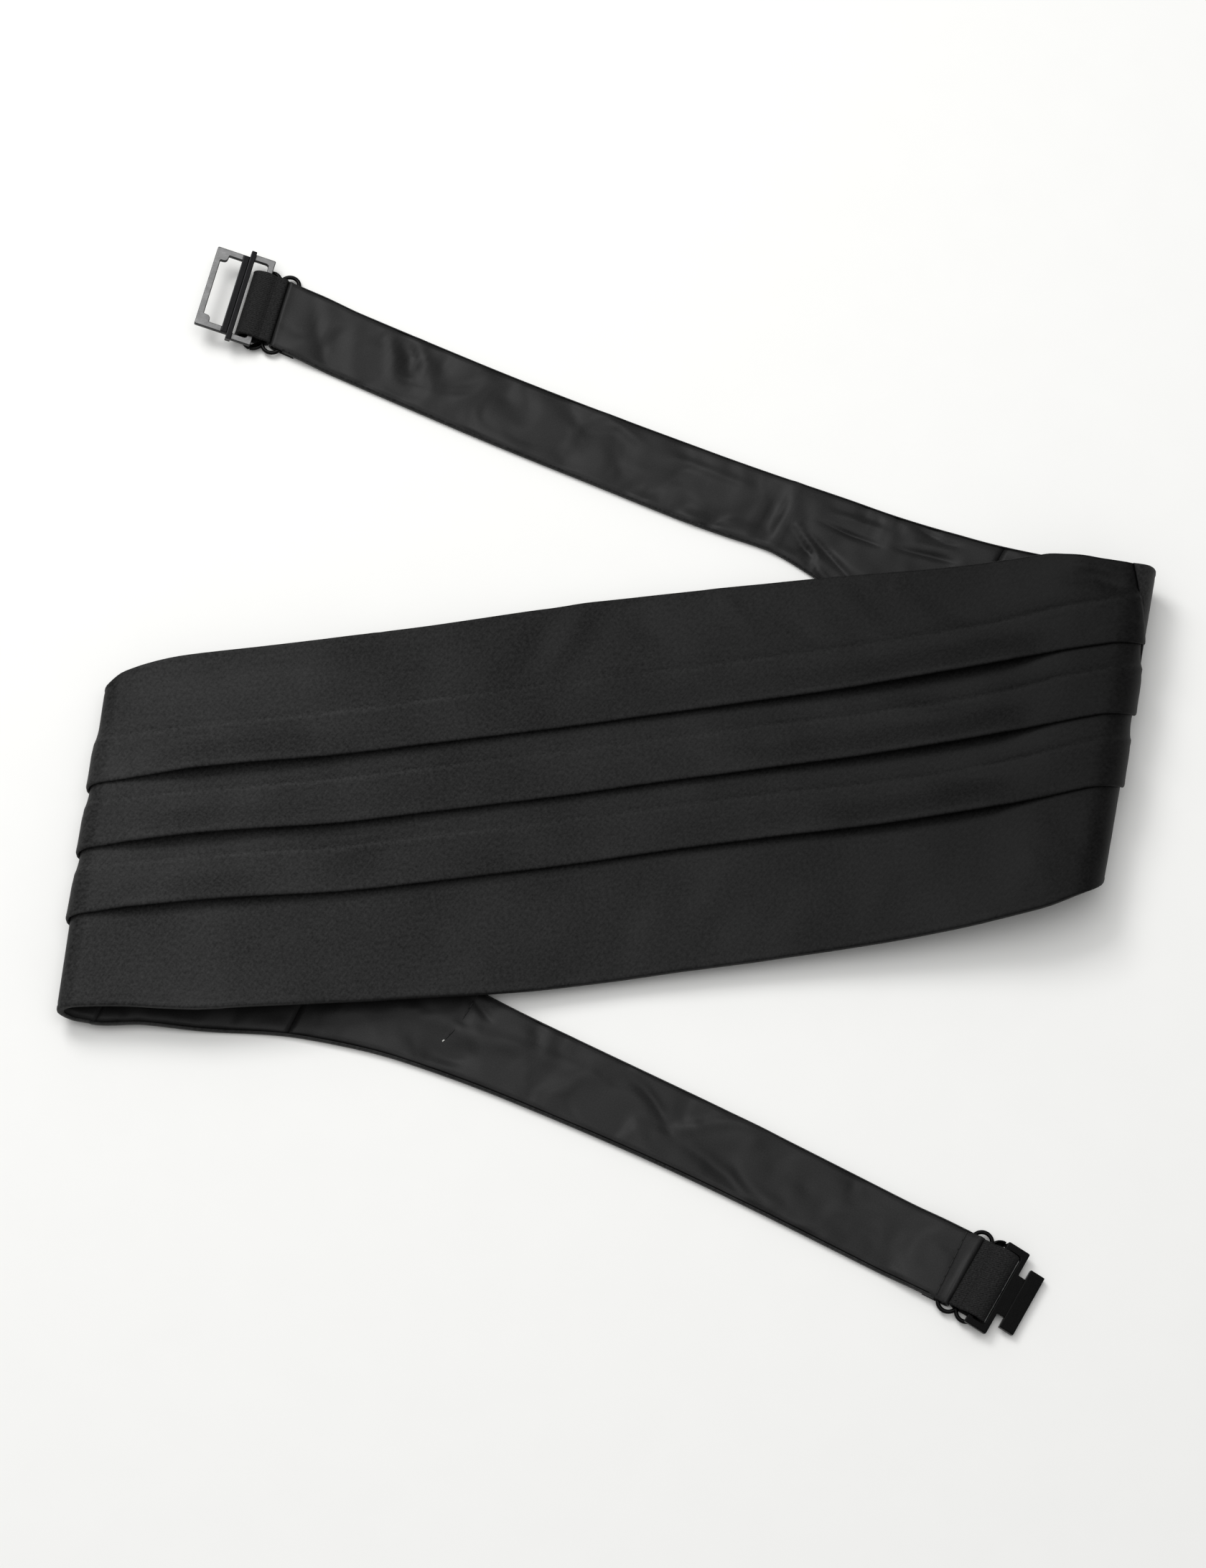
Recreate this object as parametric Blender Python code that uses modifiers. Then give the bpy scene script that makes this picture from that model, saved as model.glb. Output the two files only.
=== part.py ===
"""Black satin cummerbund, laid in a loose Z fold on a table.

The pleated front lies on top. At each end it turns under, and the lined tail that follows lies
lining side up on the table, as far as its wire slider, its elastic loop and its half of the buckle.

The cloth is one band that is cut flat. A place on the cut is `along`, in mm from the middle of the
front towards its right-hand seam, and `across`, in mm towards the upper edge. `lift` is the height
above the band's middle surface, towards the outside of the garment. The function lay bends the flat
cut over the folds and gives the place in the room. All sizes are in mm until a mesh is made.
"""

import math

import bmesh
import bpy
import numpy as np
from mathutils import Matrix

MM = 0.001

# Cloth walls. The outer cloth and the lining lie one on the other, with a gap between them.
WALL = 1.0
GAP = 0.3
STEP = WALL + GAP
OUTER = STEP / 2
LINING = -STEP / 2

# Cut of the pleated front. Each row: along, half width above, half width below, pleat pitch.
FRONT_HALF = 179.5
FRONT_CUT = (
    (-179.5, 49.8, 46.2, 19.8),
    (-150.0, 51.6, 50.2, 20.2),
    (-130.0, 56.5, 53.0, 20.5),
    (-110.0, 59.1, 55.6, 20.9),
    (-60.0, 59.5, 56.8, 21.5),
    (0.0, 60.9, 60.0, 21.8),
    (60.0, 60.0, 61.0, 22.2),
    (110.0, 57.2, 60.2, 23.0),
    (135.0, 55.3, 58.4, 23.0),
    (150.0, 52.8, 55.4, 22.6),
    (165.0, 48.6, 50.2, 21.9),
    (179.5, 43.4, 43.6, 21.2),
)
MIDDLE_LIP = -1.7
PLEAT_DEPTH = 9.0
PLEAT_RISE = 7.0
LIP_OPENING = 1.3
LIP_CLOSED_END = 45.0

# Cut of the two tails. Each row: distance past the seam, half width.
TAIL_CUT = (
    (0.0, 47.5),
    (15.0, 39.6),
    (30.0, 33.0),
    (60.0, 21.3),
    (90.0, 15.3),
    (124.0, 13.0),
    (180.0, 11.9),
    (290.0, 11.4),
)
LEFT_TAIL = 267.4
RIGHT_TAIL = 286.0
LEFT_FACING = 55.0
RIGHT_FACING = 48.5
EDGE_TURN_IN = 0.4

# How the band lies. The fold lines run in one direction, and the band crosses them on the bias.
FOLD_LINE = math.radians(81.6)
BIAS = math.radians(17.3)
FAN = 0.04 / 150
MIDDLE_SHIFT = 12.5
PLACE = (2.35, -5.39)

# Side view of the front, square to the fold lines. Each row: reach, height of the middle surface.
FRONT_HEIGHTS = (
    (-151.0, 11.5),
    (-141.0, 11.9),
    (-110.0, 12.0),
    (-60.0, 9.0),
    (0.0, 5.5),
    (60.0, 8.3),
    (110.0, 14.6),
    (129.5, 18.6),
    (139.5, 19.3),
)
LEFT_BULGE = 5.5
RIGHT_BULGE = 7.0
RIGHT_PUSH = 2.2
RIGHT_EDGE = 153.5
PLEATS_UNDER = 3.9
ON_TABLE = 1.15
TABLE_FALL = 42.0

# How far the band strays sideways from its straight line. Each row: along, stray.
STRAY = (
    (-457.5, 2.8),
    (-350.0, 5.7),
    (-217.5, 4.0),
    (-170.0, 4.6),
    (-120.0, 2.8),
    (-67.5, 0.0),
    (12.5, -0.1),
    (50.0, -1.2),
    (92.5, -3.4),
    (132.0, -4.7),
    (160.0, -3.8),
    (179.5, -1.8),
    (200.0, 2.0),
    (242.5, 10.7),
    (277.0, 12.9),
    (320.0, 11.2),
    (400.0, 7.8),
    (470.0, 6.9),
)

# Rows of the cloth: their spacing on the bends, near them and on the straight stretches.
BEND_ROWS = 2.4
NEAR_ROWS = 8.0
PLAIN_ROWS = 20.0

# Wire slider. Its three bars cross the strap at these places, measured outward from the strap's end.
WIRE = 1.3
BAR_PITCH = 6.1
BAR_A = -3.7
BAR_B = BAR_A + BAR_PITCH
BAR_C = BAR_B + BAR_PITCH
BAR_HEIGHT = 1.95
SLIDER_HALF = 14.0
STRAP_TURN = WIRE / 2 + GAP + WALL / 2
STRAP_TURN_FROM = -1.8
FLAP = 8.5

# Elastic loop, over the slider's outer bar and the buckle's bar, which lies above that one
ELASTIC_HALF = 11.0
ELASTIC_TOP = 6.05
ELASTIC_ASIDE = (0.0, -0.3)

# Buckle halves. Each turns about its bar in the elastic loop.
BUCKLE_HEIGHT = 4.2
BAR_THICK = 1.6
CORNER = 0.5
EDGE_ROUND = 0.25

HOOK_AXIS = 7.1
HOOK_HEADING = math.radians(-30.0)
HOOK_TILT = math.radians(12.8)
HOOK_HALF = 13.75
HOOK_BAR = 1.6
HOOK_ARM = 2.3
HOOK_FRAME = 6.45
HOOK_SIDE_BAR = 1.7
NECK_HALF = 6.5
NECK_END = 8.8
TEE_END = 13.55
TEE_HALF = 9.8
TEE_RAISED = 0.5

RECEIVER_AXIS = 6.3
RECEIVER_ASIDE = -1.3
RECEIVER_HEADING = math.radians(165.5)
RECEIVER_TILT = math.radians(-13.0)
RECEIVER_BAR = 1.8
RECEIVER_END = 17.8
RECEIVER_RAIL = 2.0
RECEIVER_SIDE = 1.95
ELASTIC_PART_HALF = 15.0
WINDOW_PART_HALF = 13.7
RIDGE = (5.6, 7.3)
RIDGE_HALF = 15.6
RIDGE_TOP = 1.7
PLATE = (7.3, 9.3)
PLATE_HALF = 13.4
PLATE_TOP = 1.25
NOTCH_ALONG = 2.3
NOTCH_ACROSS = 2.2


def clear_scene():
    for obj in list(bpy.data.objects):
        bpy.data.objects.remove(obj, do_unlink=True)


def new_collection(name):
    collection = bpy.data.collections.new(name)
    bpy.context.scene.collection.children.link(collection)
    return collection


def linear(value):
    return value / 12.92 if value <= 0.04045 else ((value + 0.055) / 1.055) ** 2.4


def material(name, colour, roughness, metallic=0.0):
    made = bpy.data.materials.new(name)
    made.use_nodes = True
    shader = made.node_tree.nodes["Principled BSDF"]
    channels = [linear(int(colour[i : i + 2], 16) / 255) for i in (1, 3, 5)]
    shader.inputs["Base Color"].default_value = (*channels, 1.0)
    shader.inputs["Roughness"].default_value = roughness
    shader.inputs["Metallic"].default_value = metallic
    return made


def ramp(value):
    """Smooth step from 0 to 1."""
    value = np.clip(value, 0.0, 1.0)
    return value * value * (3.0 - 2.0 * value)


def follow(rows, column, place):
    """Smooth curve through one column of a table, level at its peaks, read at each place."""
    table = np.array(rows, dtype=float)
    x = table[:, 0]
    y = table[:, column]
    width = np.diff(x)
    slope = np.diff(y) / width
    tangent = np.zeros_like(y)
    same_way = slope[:-1] * slope[1:] > 0
    heavy = 2 * width[1:] + width[:-1]
    light = width[1:] + 2 * width[:-1]
    safe = np.where(same_way, slope[:-1], 1.0), np.where(same_way, slope[1:], 1.0)
    mean = (heavy + light) / (heavy / safe[0] + light / safe[1])
    tangent[1:-1] = np.where(same_way, mean, 0.0)
    tangent[0] = slope[0] / 2
    tangent[-1] = slope[-1] / 2
    place = np.clip(place, x[0], x[-1])
    i = np.clip(np.searchsorted(x, place) - 1, 0, len(x) - 2)
    t = (place - x[i]) / width[i]
    bend_in = t * (1 - t) ** 2 * width[i] * tangent[i]
    bend_out = t * t * (t - 1) * width[i] * tangent[i + 1]
    return y[i] + (y[i + 1] - y[i]) * t * t * (3 - 2 * t) + bend_in + bend_out


def side_view():
    """Arc length, reach, height and outward direction of the band's middle surface, side on."""
    left, right = FRONT_HEIGHTS[0], FRONT_HEIGHTS[-1]
    turn = np.linspace(0.0, math.pi, 60)[1:-1]
    run = np.linspace(0.0, 330.0, 200)
    front = np.linspace(left[0], right[0], 400)
    half_left = (left[1] - PLEATS_UNDER) / 2
    half_right = (right[1] - PLEATS_UNDER) / 2
    reach = np.concatenate((
        left[0] + run[::-1],
        left[0] - LEFT_BULGE * np.sin(turn),
        front,
        right[0] + RIGHT_BULGE * np.sin(turn),
        right[0] - run,
    ))
    height = np.concatenate((
        np.full_like(run, PLEATS_UNDER),
        PLEATS_UNDER + half_left * (1 - np.cos(turn)),
        follow(FRONT_HEIGHTS, 1, front),
        PLEATS_UNDER + half_right * (1 + np.cos(turn)),
        np.full_like(run, PLEATS_UNDER),
    ))
    arc = np.concatenate(([0.0], np.cumsum(np.hypot(np.diff(reach), np.diff(height)))))
    first = len(run) + len(turn)
    arc -= np.interp(0.0, front, arc[first : first + len(front)])
    along_reach, along_height = np.gradient(reach), np.gradient(height)
    size = np.hypot(along_reach, along_height)
    return arc, reach, height, -along_height / size, along_reach / size


SIDE = side_view()


def lay(along, across, lift):
    """Places in the room, in mm, of places on the flat cut."""
    arc, reach, height, out_reach, out_height = SIDE
    run = along - MIDDLE_SHIFT
    crossing = run * math.cos(BIAS) - across * math.sin(BIAS)
    level = run * math.sin(BIAS) + across * math.cos(BIAS) + follow(STRAY, 1, along)
    q = np.interp(crossing, arc, reach) + lift * np.interp(crossing, arc, out_reach)
    z = np.interp(crossing, arc, height) + lift * np.interp(crossing, arc, out_height)
    q = q + RIGHT_PUSH * np.exp(-(((crossing - RIGHT_EDGE) / 14.0) ** 2)) * (1 + across / 260.0)
    q = q * (1 + FAN * across)
    z = z - table_drop(along, crossing)
    x = PLACE[0] + q * math.sin(FOLD_LINE) + level * math.cos(FOLD_LINE)
    y = PLACE[1] - q * math.cos(FOLD_LINE) + level * math.sin(FOLD_LINE)
    return np.stack((x, y, z), axis=-1)


def table_drop(along, crossing):
    """How far a tail sinks to the table, past the end of the bend and past the pleats' seam."""
    arc, reach = SIDE[0], SIDE[1]
    left_end = arc[np.argmin(reach[: len(reach) // 2])] - 8.0
    right_end = arc[len(reach) // 2 + np.argmax(reach[len(reach) // 2 :])] + 12.0
    past_bend = np.maximum(left_end - crossing, crossing - right_end)
    past_seam = np.abs(along) - FRONT_HALF
    drop = ramp(past_bend / TABLE_FALL) * ramp(past_seam / TABLE_FALL)
    drop = drop * (PLEATS_UNDER - ON_TABLE)
    from_end = FRONT_HALF + np.where(along < 0, LEFT_TAIL, RIGHT_TAIL) - np.abs(along)
    return drop - STEP * (1 - ramp((from_end - FLAP - 1.5) / 14.0))


def spaced(start, stop, step):
    return list(np.linspace(start, stop, max(2, 1 + round(abs(stop - start) / step))))[:-1]


def rolled_edge(edge):
    """Columns of cloth that rolls over towards the lining at its edge, from its raw end inwards."""
    centre = edge - WALL / 2 - OUTER
    columns = [(centre - EDGE_TURN_IN, -OUTER)]
    for angle in (-90.0, -30.0, 30.0, 90.0):
        angle = math.radians(angle)
        columns.append((centre + OUTER * math.cos(angle), OUTER * math.sin(angle)))
    return columns


def mirrored(columns):
    return [(-a, b) for a, b in reversed(columns)]


def front_columns(along):
    """The pleated front from its upper edge to its lower edge: three knife pleats, lips down."""
    upper = float(follow(FRONT_CUT, 1, along))
    lower = float(follow(FRONT_CUT, 2, along))
    pitch = float(follow(FRONT_CUT, 3, along))
    from_seam = FRONT_HALF - abs(along)
    opening = LIP_OPENING * float(ramp((from_seam - 12.0) / LIP_CLOSED_END))
    top = OUTER + 2 * STEP
    columns = rolled_edge(upper)
    columns.append(((columns[-1][0] + MIDDLE_LIP + pitch + PLEAT_DEPTH + PLEAT_RISE) / 2, OUTER))
    for lip in (MIDDLE_LIP + pitch, MIDDLE_LIP, MIDDLE_LIP - pitch):
        fold = lip + PLEAT_DEPTH
        turn = OUTER + WALL / 2
        crest = top + opening
        columns.append((fold + 1.5 + PLEAT_RISE, OUTER + 0.1))
        columns.append((fold + 1.5 + PLEAT_RISE / 2, (OUTER + top) / 2))
        columns.append((fold + 1.5, top))
        for angle in (90, 30, -30, -90):
            angle = math.radians(angle)
            out = turn - OUTER * math.cos(angle)
            columns.append((lip + out, crest - OUTER + OUTER * math.sin(angle)))
        for angle in (90, 0, -90):
            angle = math.radians(angle)
            out = turn - OUTER * math.cos(angle)
            columns.append((fold - out, top - 3 * OUTER + OUTER * math.sin(angle)))
        columns.append((lip + turn, OUTER))
    lower_edge = mirrored(rolled_edge(lower))
    columns.append(((2 * columns[-1][0] + lower_edge[0][0]) / 3, OUTER))
    columns.append(((columns[-2][0] + 2 * lower_edge[0][0]) / 3, OUTER))
    return columns + lower_edge


def front_lining_columns(along):
    """A flat lining, with its columns under those of the front's, so that both bend alike."""
    inset = OUTER + WALL / 2 + EDGE_TURN_IN + GAP
    flat = [column[0] for column in front_columns(along) if column[1] == OUTER]
    low = flat[-3:-1]
    pitch = float(follow(FRONT_CUT, 3, along))
    lips = [MIDDLE_LIP + pitch * step + OUTER + WALL / 2 for step in (1, 0, -1)]
    upper = float(follow(FRONT_CUT, 1, along)) - inset
    lower = float(follow(FRONT_CUT, 2, along)) - inset
    first = MIDDLE_LIP + pitch + PLEAT_DEPTH + 1.5 + PLEAT_RISE
    return [(place, LINING) for place in (upper, first, *lips, *low, -lower)]


def tail_half(along):
    """Half width of a tail, blended from the front's edge at the seam."""
    past = abs(along) - FRONT_HALF
    seam = follow(FRONT_CUT, 1, along), follow(FRONT_CUT, 2, along)
    plain = float(follow(TAIL_CUT, 1, past))
    blend = 1 - float(ramp(past / 30.0))
    return [plain + (float(side) - TAIL_CUT[0][1]) * blend for side in seam]


def tail_columns(along):
    upper, lower = tail_half(along)
    above = rolled_edge(upper)
    below = mirrored(rolled_edge(lower))
    inner = np.linspace(above[-1][0], below[0][0], 7)[1:-1]
    return above + [(place, OUTER) for place in inner] + below


def tail_lining_columns(along):
    """A flat lining, with its columns under some of the outer cloth's."""
    inset = OUTER + WALL / 2 + EDGE_TURN_IN + GAP
    upper, lower = (side - inset for side in tail_half(along))
    inner = [column[0] for column in tail_columns(along)[5:-5:2]]
    return [(place, LINING) for place in (upper, *inner, -lower)]


def finish(obj, name, collection, finish_material, smooth=True):
    obj.name = name
    obj.data.name = name
    for holder in obj.users_collection:
        holder.objects.unlink(obj)
    collection.objects.link(obj)
    obj.data.materials.clear()
    obj.data.materials.append(finish_material)
    if smooth and obj.type == "MESH":
        obj.data.shade_smooth()
        obj.data.set_sharp_from_angle(angle=math.radians(40))
    return obj


def sheet(name, rows, collection, cloth, closed=False):
    """A wall of cloth through rows of places in the room: an open surface, thickened both ways."""
    grid = np.array(rows)
    build = bmesh.new()
    across, down = grid.shape[0], grid.shape[1]
    bmesh.ops.create_grid(build, x_segments=down - 1, y_segments=across - 1, size=0.5)
    build.verts.ensure_lookup_table()
    for vert, place in zip(build.verts, grid.reshape(-1, 3)):
        vert.co = place * MM
    if closed:
        bmesh.ops.remove_doubles(build, verts=build.verts, dist=1e-7)
    mesh = bpy.data.meshes.new(name)
    build.to_mesh(mesh)
    build.free()
    obj = bpy.data.objects.new(name, mesh)
    collection.objects.link(obj)
    thicken = obj.modifiers.new("Wall", "SOLIDIFY")
    thicken.thickness = WALL * MM
    thicken.offset = 0.0
    thicken.use_even_offset = True
    return finish(obj, name, collection, cloth)


def row_places(along, lean, columns, shift=0.0):
    """One row of a sheet: its columns laid in the room, the row leaning along the band."""
    across = np.array([column[0] for column in columns])
    lift = np.array([column[1] for column in columns]) + shift
    return lay(along + lean * across, across, lift)


def front_lean(along):
    """Rows run square to the band at the seams, and along the fold lines between them."""
    from_left = (along + FRONT_HALF) / 25.0
    from_right = (FRONT_HALF - along) / 40.0
    return math.tan(BIAS) * min(1.0, max(0.0, from_left), max(0.0, from_right))


def front_stations():
    end = FRONT_HALF - GAP / 2
    rows = spaced(-end, -166.0, 5.0)
    rows += spaced(-166.0, -145.0, BEND_ROWS)
    rows += spaced(-145.0, 150.0, PLAIN_ROWS)
    rows += spaced(150.0, end, BEND_ROWS)
    return rows + [end]


def front(name, columns, collection, cloth):
    rows = [row_places(a, front_lean(a), columns(a)) for a in front_stations()]
    return sheet(name, rows, collection, cloth)


def end_direction(side):
    """Heading of a strap's end, and how far its last rows lean to stand square to that heading."""
    end = side * (FRONT_HALF + (LEFT_TAIL if side < 0 else RIGHT_TAIL))
    heading = HOOK_HEADING if side < 0 else RECEIVER_HEADING
    toward = np.array((math.cos(heading), math.sin(heading), 0.0))
    points = lay(np.array((end, end + 0.5, end)), np.array((0.0, 0.0, 0.5)), np.zeros(3))
    lean = -((points[2] - points[0]) @ toward) / ((points[1] - points[0]) @ toward)
    return points[0], heading, lean


def tail_stations(side, start, stop):
    """Distances past the seam, close together on the bend and wider along the strap."""
    rows = []
    marks = ((22.0, BEND_ROWS), (RIGHT_FACING, NEAR_ROWS), (400.0, PLAIN_ROWS))
    if side < 0:
        marks = ((LEFT_FACING, NEAR_ROWS), (400.0, PLAIN_ROWS))
    for mark, step in marks:
        if start < mark:
            rows += spaced(start, min(mark, stop), step)
            start = mark
        if stop <= mark:
            break
    return rows + [stop]


def tail_row(side, past, columns, shift=0.0):
    """A row at a distance past the seam, turned at the strap's end to stand square to the slider."""
    length = LEFT_TAIL if side < 0 else RIGHT_TAIL
    lean = end_direction(side)[2] * float(1 - ramp((length - past) / 40.0))
    return row_places(side * (FRONT_HALF + past), lean, columns, shift)


def turned_rows(side, columns):
    """Rows of a strap's end, where the lining turns down round the slider's first bar and back."""
    length = LEFT_TAIL if side < 0 else RIGHT_TAIL
    centre = ON_TABLE + STEP - BAR_HEIGHT
    flap = OUTER + STEP
    rows = []
    for angle in np.linspace(-90.0, 90.0, 7):
        angle = math.radians(angle)
        past = length + STRAP_TURN_FROM + STRAP_TURN * math.cos(angle)
        rows.append(tail_row(side, past, columns, centre + STRAP_TURN * math.sin(angle)))
    rows.append(tail_row(side, length - FLAP / 2 - 1.0, columns, flap))
    rows.append(tail_row(side, length - FLAP, columns, flap))
    return rows


def tail(side, word, collection, cloth, lining):
    """A tail from its bend to its half of the buckle: outer cloth, facing and lining."""
    length = LEFT_TAIL if side < 0 else RIGHT_TAIL
    rows = []
    stations = tail_stations(side, GAP / 2, length - 20.0) + [length - 11.0, length + BAR_A - 1.1]
    for past in stations:
        rows.append(tail_row(side, past, tail_columns(side * (FRONT_HALF + past))))
    sheet(f"tail_{word}", rows, collection, cloth)
    end_columns = [(place, 0.0) for place, _ in tail_lining_columns(side * (FRONT_HALF + length))]
    linings(side, length - 4.0, turned_rows(side, end_columns), collection, lining, word)


def linings(side, stop, turned, collection, lining, word):
    """The facing next to the front's seam and the long lining of one tail."""
    facing = LEFT_FACING if side < 0 else RIGHT_FACING
    for name, first, last, extra in (
        (f"tail_facing_{word}", GAP / 2, facing - GAP / 2, []),
        (f"tail_lining_{word}", facing + GAP / 2, stop, turned),
    ):
        rows = []
        stations = tail_stations(side, first, min(last, stop - 16.0))
        if last == stop:
            stations += [stop - 8.0, stop]
        for past in stations:
            columns = tail_lining_columns(side * (FRONT_HALF + past))
            rows.append(tail_row(side, past, columns))
        sheet(name, rows + extra, collection, lining)


def elastic_path(far_end):
    """Side view of the elastic loop, round the slider's middle bar and the buckle's bar."""
    near_turn = WIRE / 2 + GAP + WALL / 2
    far_turn = (ELASTIC_TOP - WALL / 2) / 2
    far = far_end - far_turn - WALL / 2
    path = []
    for angle in np.linspace(90.0, 270.0, 7):
        angle = math.radians(angle)
        path.append((BAR_B + near_turn * math.cos(angle), BAR_HEIGHT + near_turn * math.sin(angle)))
    path.append(((BAR_B + far) / 2, WALL / 2))
    for angle in np.linspace(-90.0, 90.0, 9):
        angle = math.radians(angle)
        path.append((far + far_turn * math.cos(angle), ELASTIC_TOP - far_turn + far_turn * math.sin(angle)))
    path.append((BAR_B + 4.2, ELASTIC_TOP))
    path.append((BAR_B + 2.6, ELASTIC_TOP - 0.5))
    path.append((BAR_B + 1.2, ELASTIC_TOP - 1.6))
    path.append(path[0])
    return path


def place_matrix(side):
    """From a strap end's own frame, x outward and z up, to the room."""
    middle, heading, _ = end_direction(side)
    spot = Matrix.Translation((middle[0] * MM, middle[1] * MM, 0.0))
    return spot @ Matrix.Rotation(heading, 4, "Z")


def elastic(name, side, far_end, collection, webbing):
    path = elastic_path(far_end)
    spot = np.array(place_matrix(side))
    rows = []
    for x, z in path:
        places = []
        for y in (-ELASTIC_HALF, -ELASTIC_HALF / 3, ELASTIC_HALF / 3, ELASTIC_HALF):
            y += ELASTIC_ASIDE[0] if side < 0 else ELASTIC_ASIDE[1]
            local = np.array((x * MM, y * MM, z * MM, 1.0))
            places.append((spot @ local)[:3] / MM)
        rows.append(places)
    return sheet(name, rows, collection, webbing, closed=True)


def outline_object(name, outlines, thick, edge, collection, metal):
    """A flat plate from closed outlines, the first its rim and the rest its windows."""
    curve = bpy.data.curves.new(name, "CURVE")
    curve.dimensions = "2D"
    curve.fill_mode = "BOTH"
    curve.extrude = (thick / 2 - edge) * MM
    curve.bevel_depth = edge * MM
    curve.bevel_resolution = 1
    curve.offset = -edge * MM
    for outline in outlines:
        spline = curve.splines.new("POLY")
        spline.points.add(len(outline) - 1)
        for point, (x, y) in zip(spline.points, outline):
            point.co = (x * MM, y * MM, 0.0, 1.0)
        spline.use_cyclic_u = True
    guide = bpy.data.objects.new(name + "_outline", curve)
    collection.objects.link(guide)
    graph = bpy.context.evaluated_depsgraph_get()
    mesh = bpy.data.meshes.new_from_object(guide.evaluated_get(graph))
    build = bmesh.new()
    build.from_mesh(mesh)
    bmesh.ops.remove_doubles(build, verts=build.verts, dist=1e-7)
    bmesh.ops.recalc_face_normals(build, faces=build.faces)
    build.to_mesh(mesh)
    build.free()
    bpy.data.objects.remove(guide, do_unlink=True)
    bpy.data.curves.remove(curve)
    obj = bpy.data.objects.new(name, mesh)
    collection.objects.link(obj)
    return finish(obj, name, collection, metal)


def rounded(corners, radius, steps=3):
    """A closed outline whose corners are arcs. A corner is (x, y) or (x, y, its own radius)."""
    outline = []
    count = len(corners)
    for i, corner in enumerate(corners):
        here = np.array(corner[:2], dtype=float)
        before = np.array(corners[i - 1][:2], dtype=float) - here
        after = np.array(corners[(i + 1) % count][:2], dtype=float) - here
        size = corner[2] if len(corner) > 2 else radius
        if size <= 0:
            outline.append(tuple(here))
            continue
        start = here + before / np.linalg.norm(before) * size
        end = here + after / np.linalg.norm(after) * size
        for share in np.linspace(0.0, 1.0, steps + 1):
            blend = (1 - share) ** 2, 2 * share * (1 - share), share**2
            outline.append(tuple(blend[0] * start + blend[1] * here + blend[2] * end))
    return outline


def slider(name, side, collection, metal):
    """A figure of eight in wire: three bars, with a round lobe past each edge of the elastic."""
    lobe = BAR_PITCH / 2
    outer = lobe + WIRE / 2
    inner = lobe - WIRE / 2
    lobe_height = SLIDER_HALF - outer
    middles = (BAR_A + lobe, BAR_B + lobe)
    meet = math.degrees(math.acos(lobe / outer))
    rim = []
    for way in (1, -1):
        for middle in middles[::way]:
            near_pinch = middle == middles[0]
            first, last = (180.0, meet) if near_pinch else (180.0 - meet, 0.0)
            angles = np.linspace(first, last, 7)
            if way < 0:
                angles = -angles[::-1]
            for angle in angles:
                angle = math.radians(angle)
                rim.append((middle + outer * math.cos(angle), way * lobe_height + outer * math.sin(angle)))
    windows = []
    for middle in middles:
        window = []
        for way in (1, -1):
            for angle in np.linspace(0.0, 180.0, 7):
                angle = math.radians(angle if way > 0 else angle + 180.0)
                window.append((middle + inner * math.cos(angle), way * lobe_height + inner * math.sin(angle)))
        windows.append(window)
    obj = outline_object(name, [remove_repeats(rim)] + windows, WIRE, WIRE * 0.3, collection, metal)
    obj.matrix_world = place_matrix(side) @ Matrix.Translation((0.0, 0.0, BAR_HEIGHT * MM))
    return obj


def remove_repeats(outline):
    """The outline without a point that lies on the one before it."""
    kept = []
    for point in outline:
        if not kept or math.dist(point, kept[-1]) > 0.01:
            kept.append(point)
    return kept


def joined_bar(obj, span, half, bottom, top, helpers):
    """Joins a bar to a plate: span along the plate, half its length across, bottom and top."""
    bpy.ops.mesh.primitive_cube_add(size=1.0)
    bar = bpy.context.object
    bar.name = obj.name + "_bar"
    size = (span[1] - span[0], 2 * half, top - bottom)
    middle = ((span[0] + span[1]) / 2, 0.0, (top + bottom) / 2)
    for vert in bar.data.vertices:
        vert.co = [(co * length + place) * MM for co, length, place in zip(vert.co, size, middle)]
    for holder in bar.users_collection:
        holder.objects.unlink(bar)
    helpers.objects.link(bar)
    soften = bar.modifiers.new("Edges", "BEVEL")
    soften.width = EDGE_ROUND * MM
    soften.segments = 2
    bar.hide_render = True
    bar.display_type = "WIRE"
    bar.matrix_world = obj.matrix_world.copy()
    join = obj.modifiers.new("Joined bar", "BOOLEAN")
    join.operation = "UNION"
    join.solver = "EXACT"
    join.object = bar


def hook(side, collection, helpers, enamel):
    """The half with the T: a frame round its elastic's bar, a neck and the cross bar."""
    back = -HOOK_BAR / 2
    rim = rounded(
        (
            (back, HOOK_HALF),
            (back, -HOOK_HALF),
            (HOOK_FRAME, -HOOK_HALF),
            (HOOK_FRAME, -NECK_HALF, 0.3),
            (NECK_END + 1.0, -NECK_HALF, 0.0),
            (NECK_END + 1.0, NECK_HALF, 0.0),
            (HOOK_FRAME, NECK_HALF, 0.3),
            (HOOK_FRAME, HOOK_HALF),
        ),
        CORNER,
    )
    inside = HOOK_HALF - HOOK_ARM
    reach = HOOK_FRAME - HOOK_SIDE_BAR
    front_edge = HOOK_BAR / 2
    window = rounded(
        ((front_edge, inside, 0.3), (reach, inside, 1.2), (reach, -inside, 1.2), (front_edge, -inside, 0.3)),
        CORNER,
    )
    obj = outline_object("hook", [rim, window], BAR_THICK, EDGE_ROUND, collection, enamel)
    centre = Matrix.Translation((HOOK_AXIS * MM, 0.0, BUCKLE_HEIGHT * MM))
    obj.matrix_world = place_matrix(side) @ centre @ Matrix.Rotation(HOOK_TILT, 4, "Y")
    top = BAR_THICK / 2 + TEE_RAISED
    joined_bar(obj, (NECK_END, TEE_END), TEE_HALF, 0.1 - BAR_THICK / 2, top, helpers)
    return obj


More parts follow.
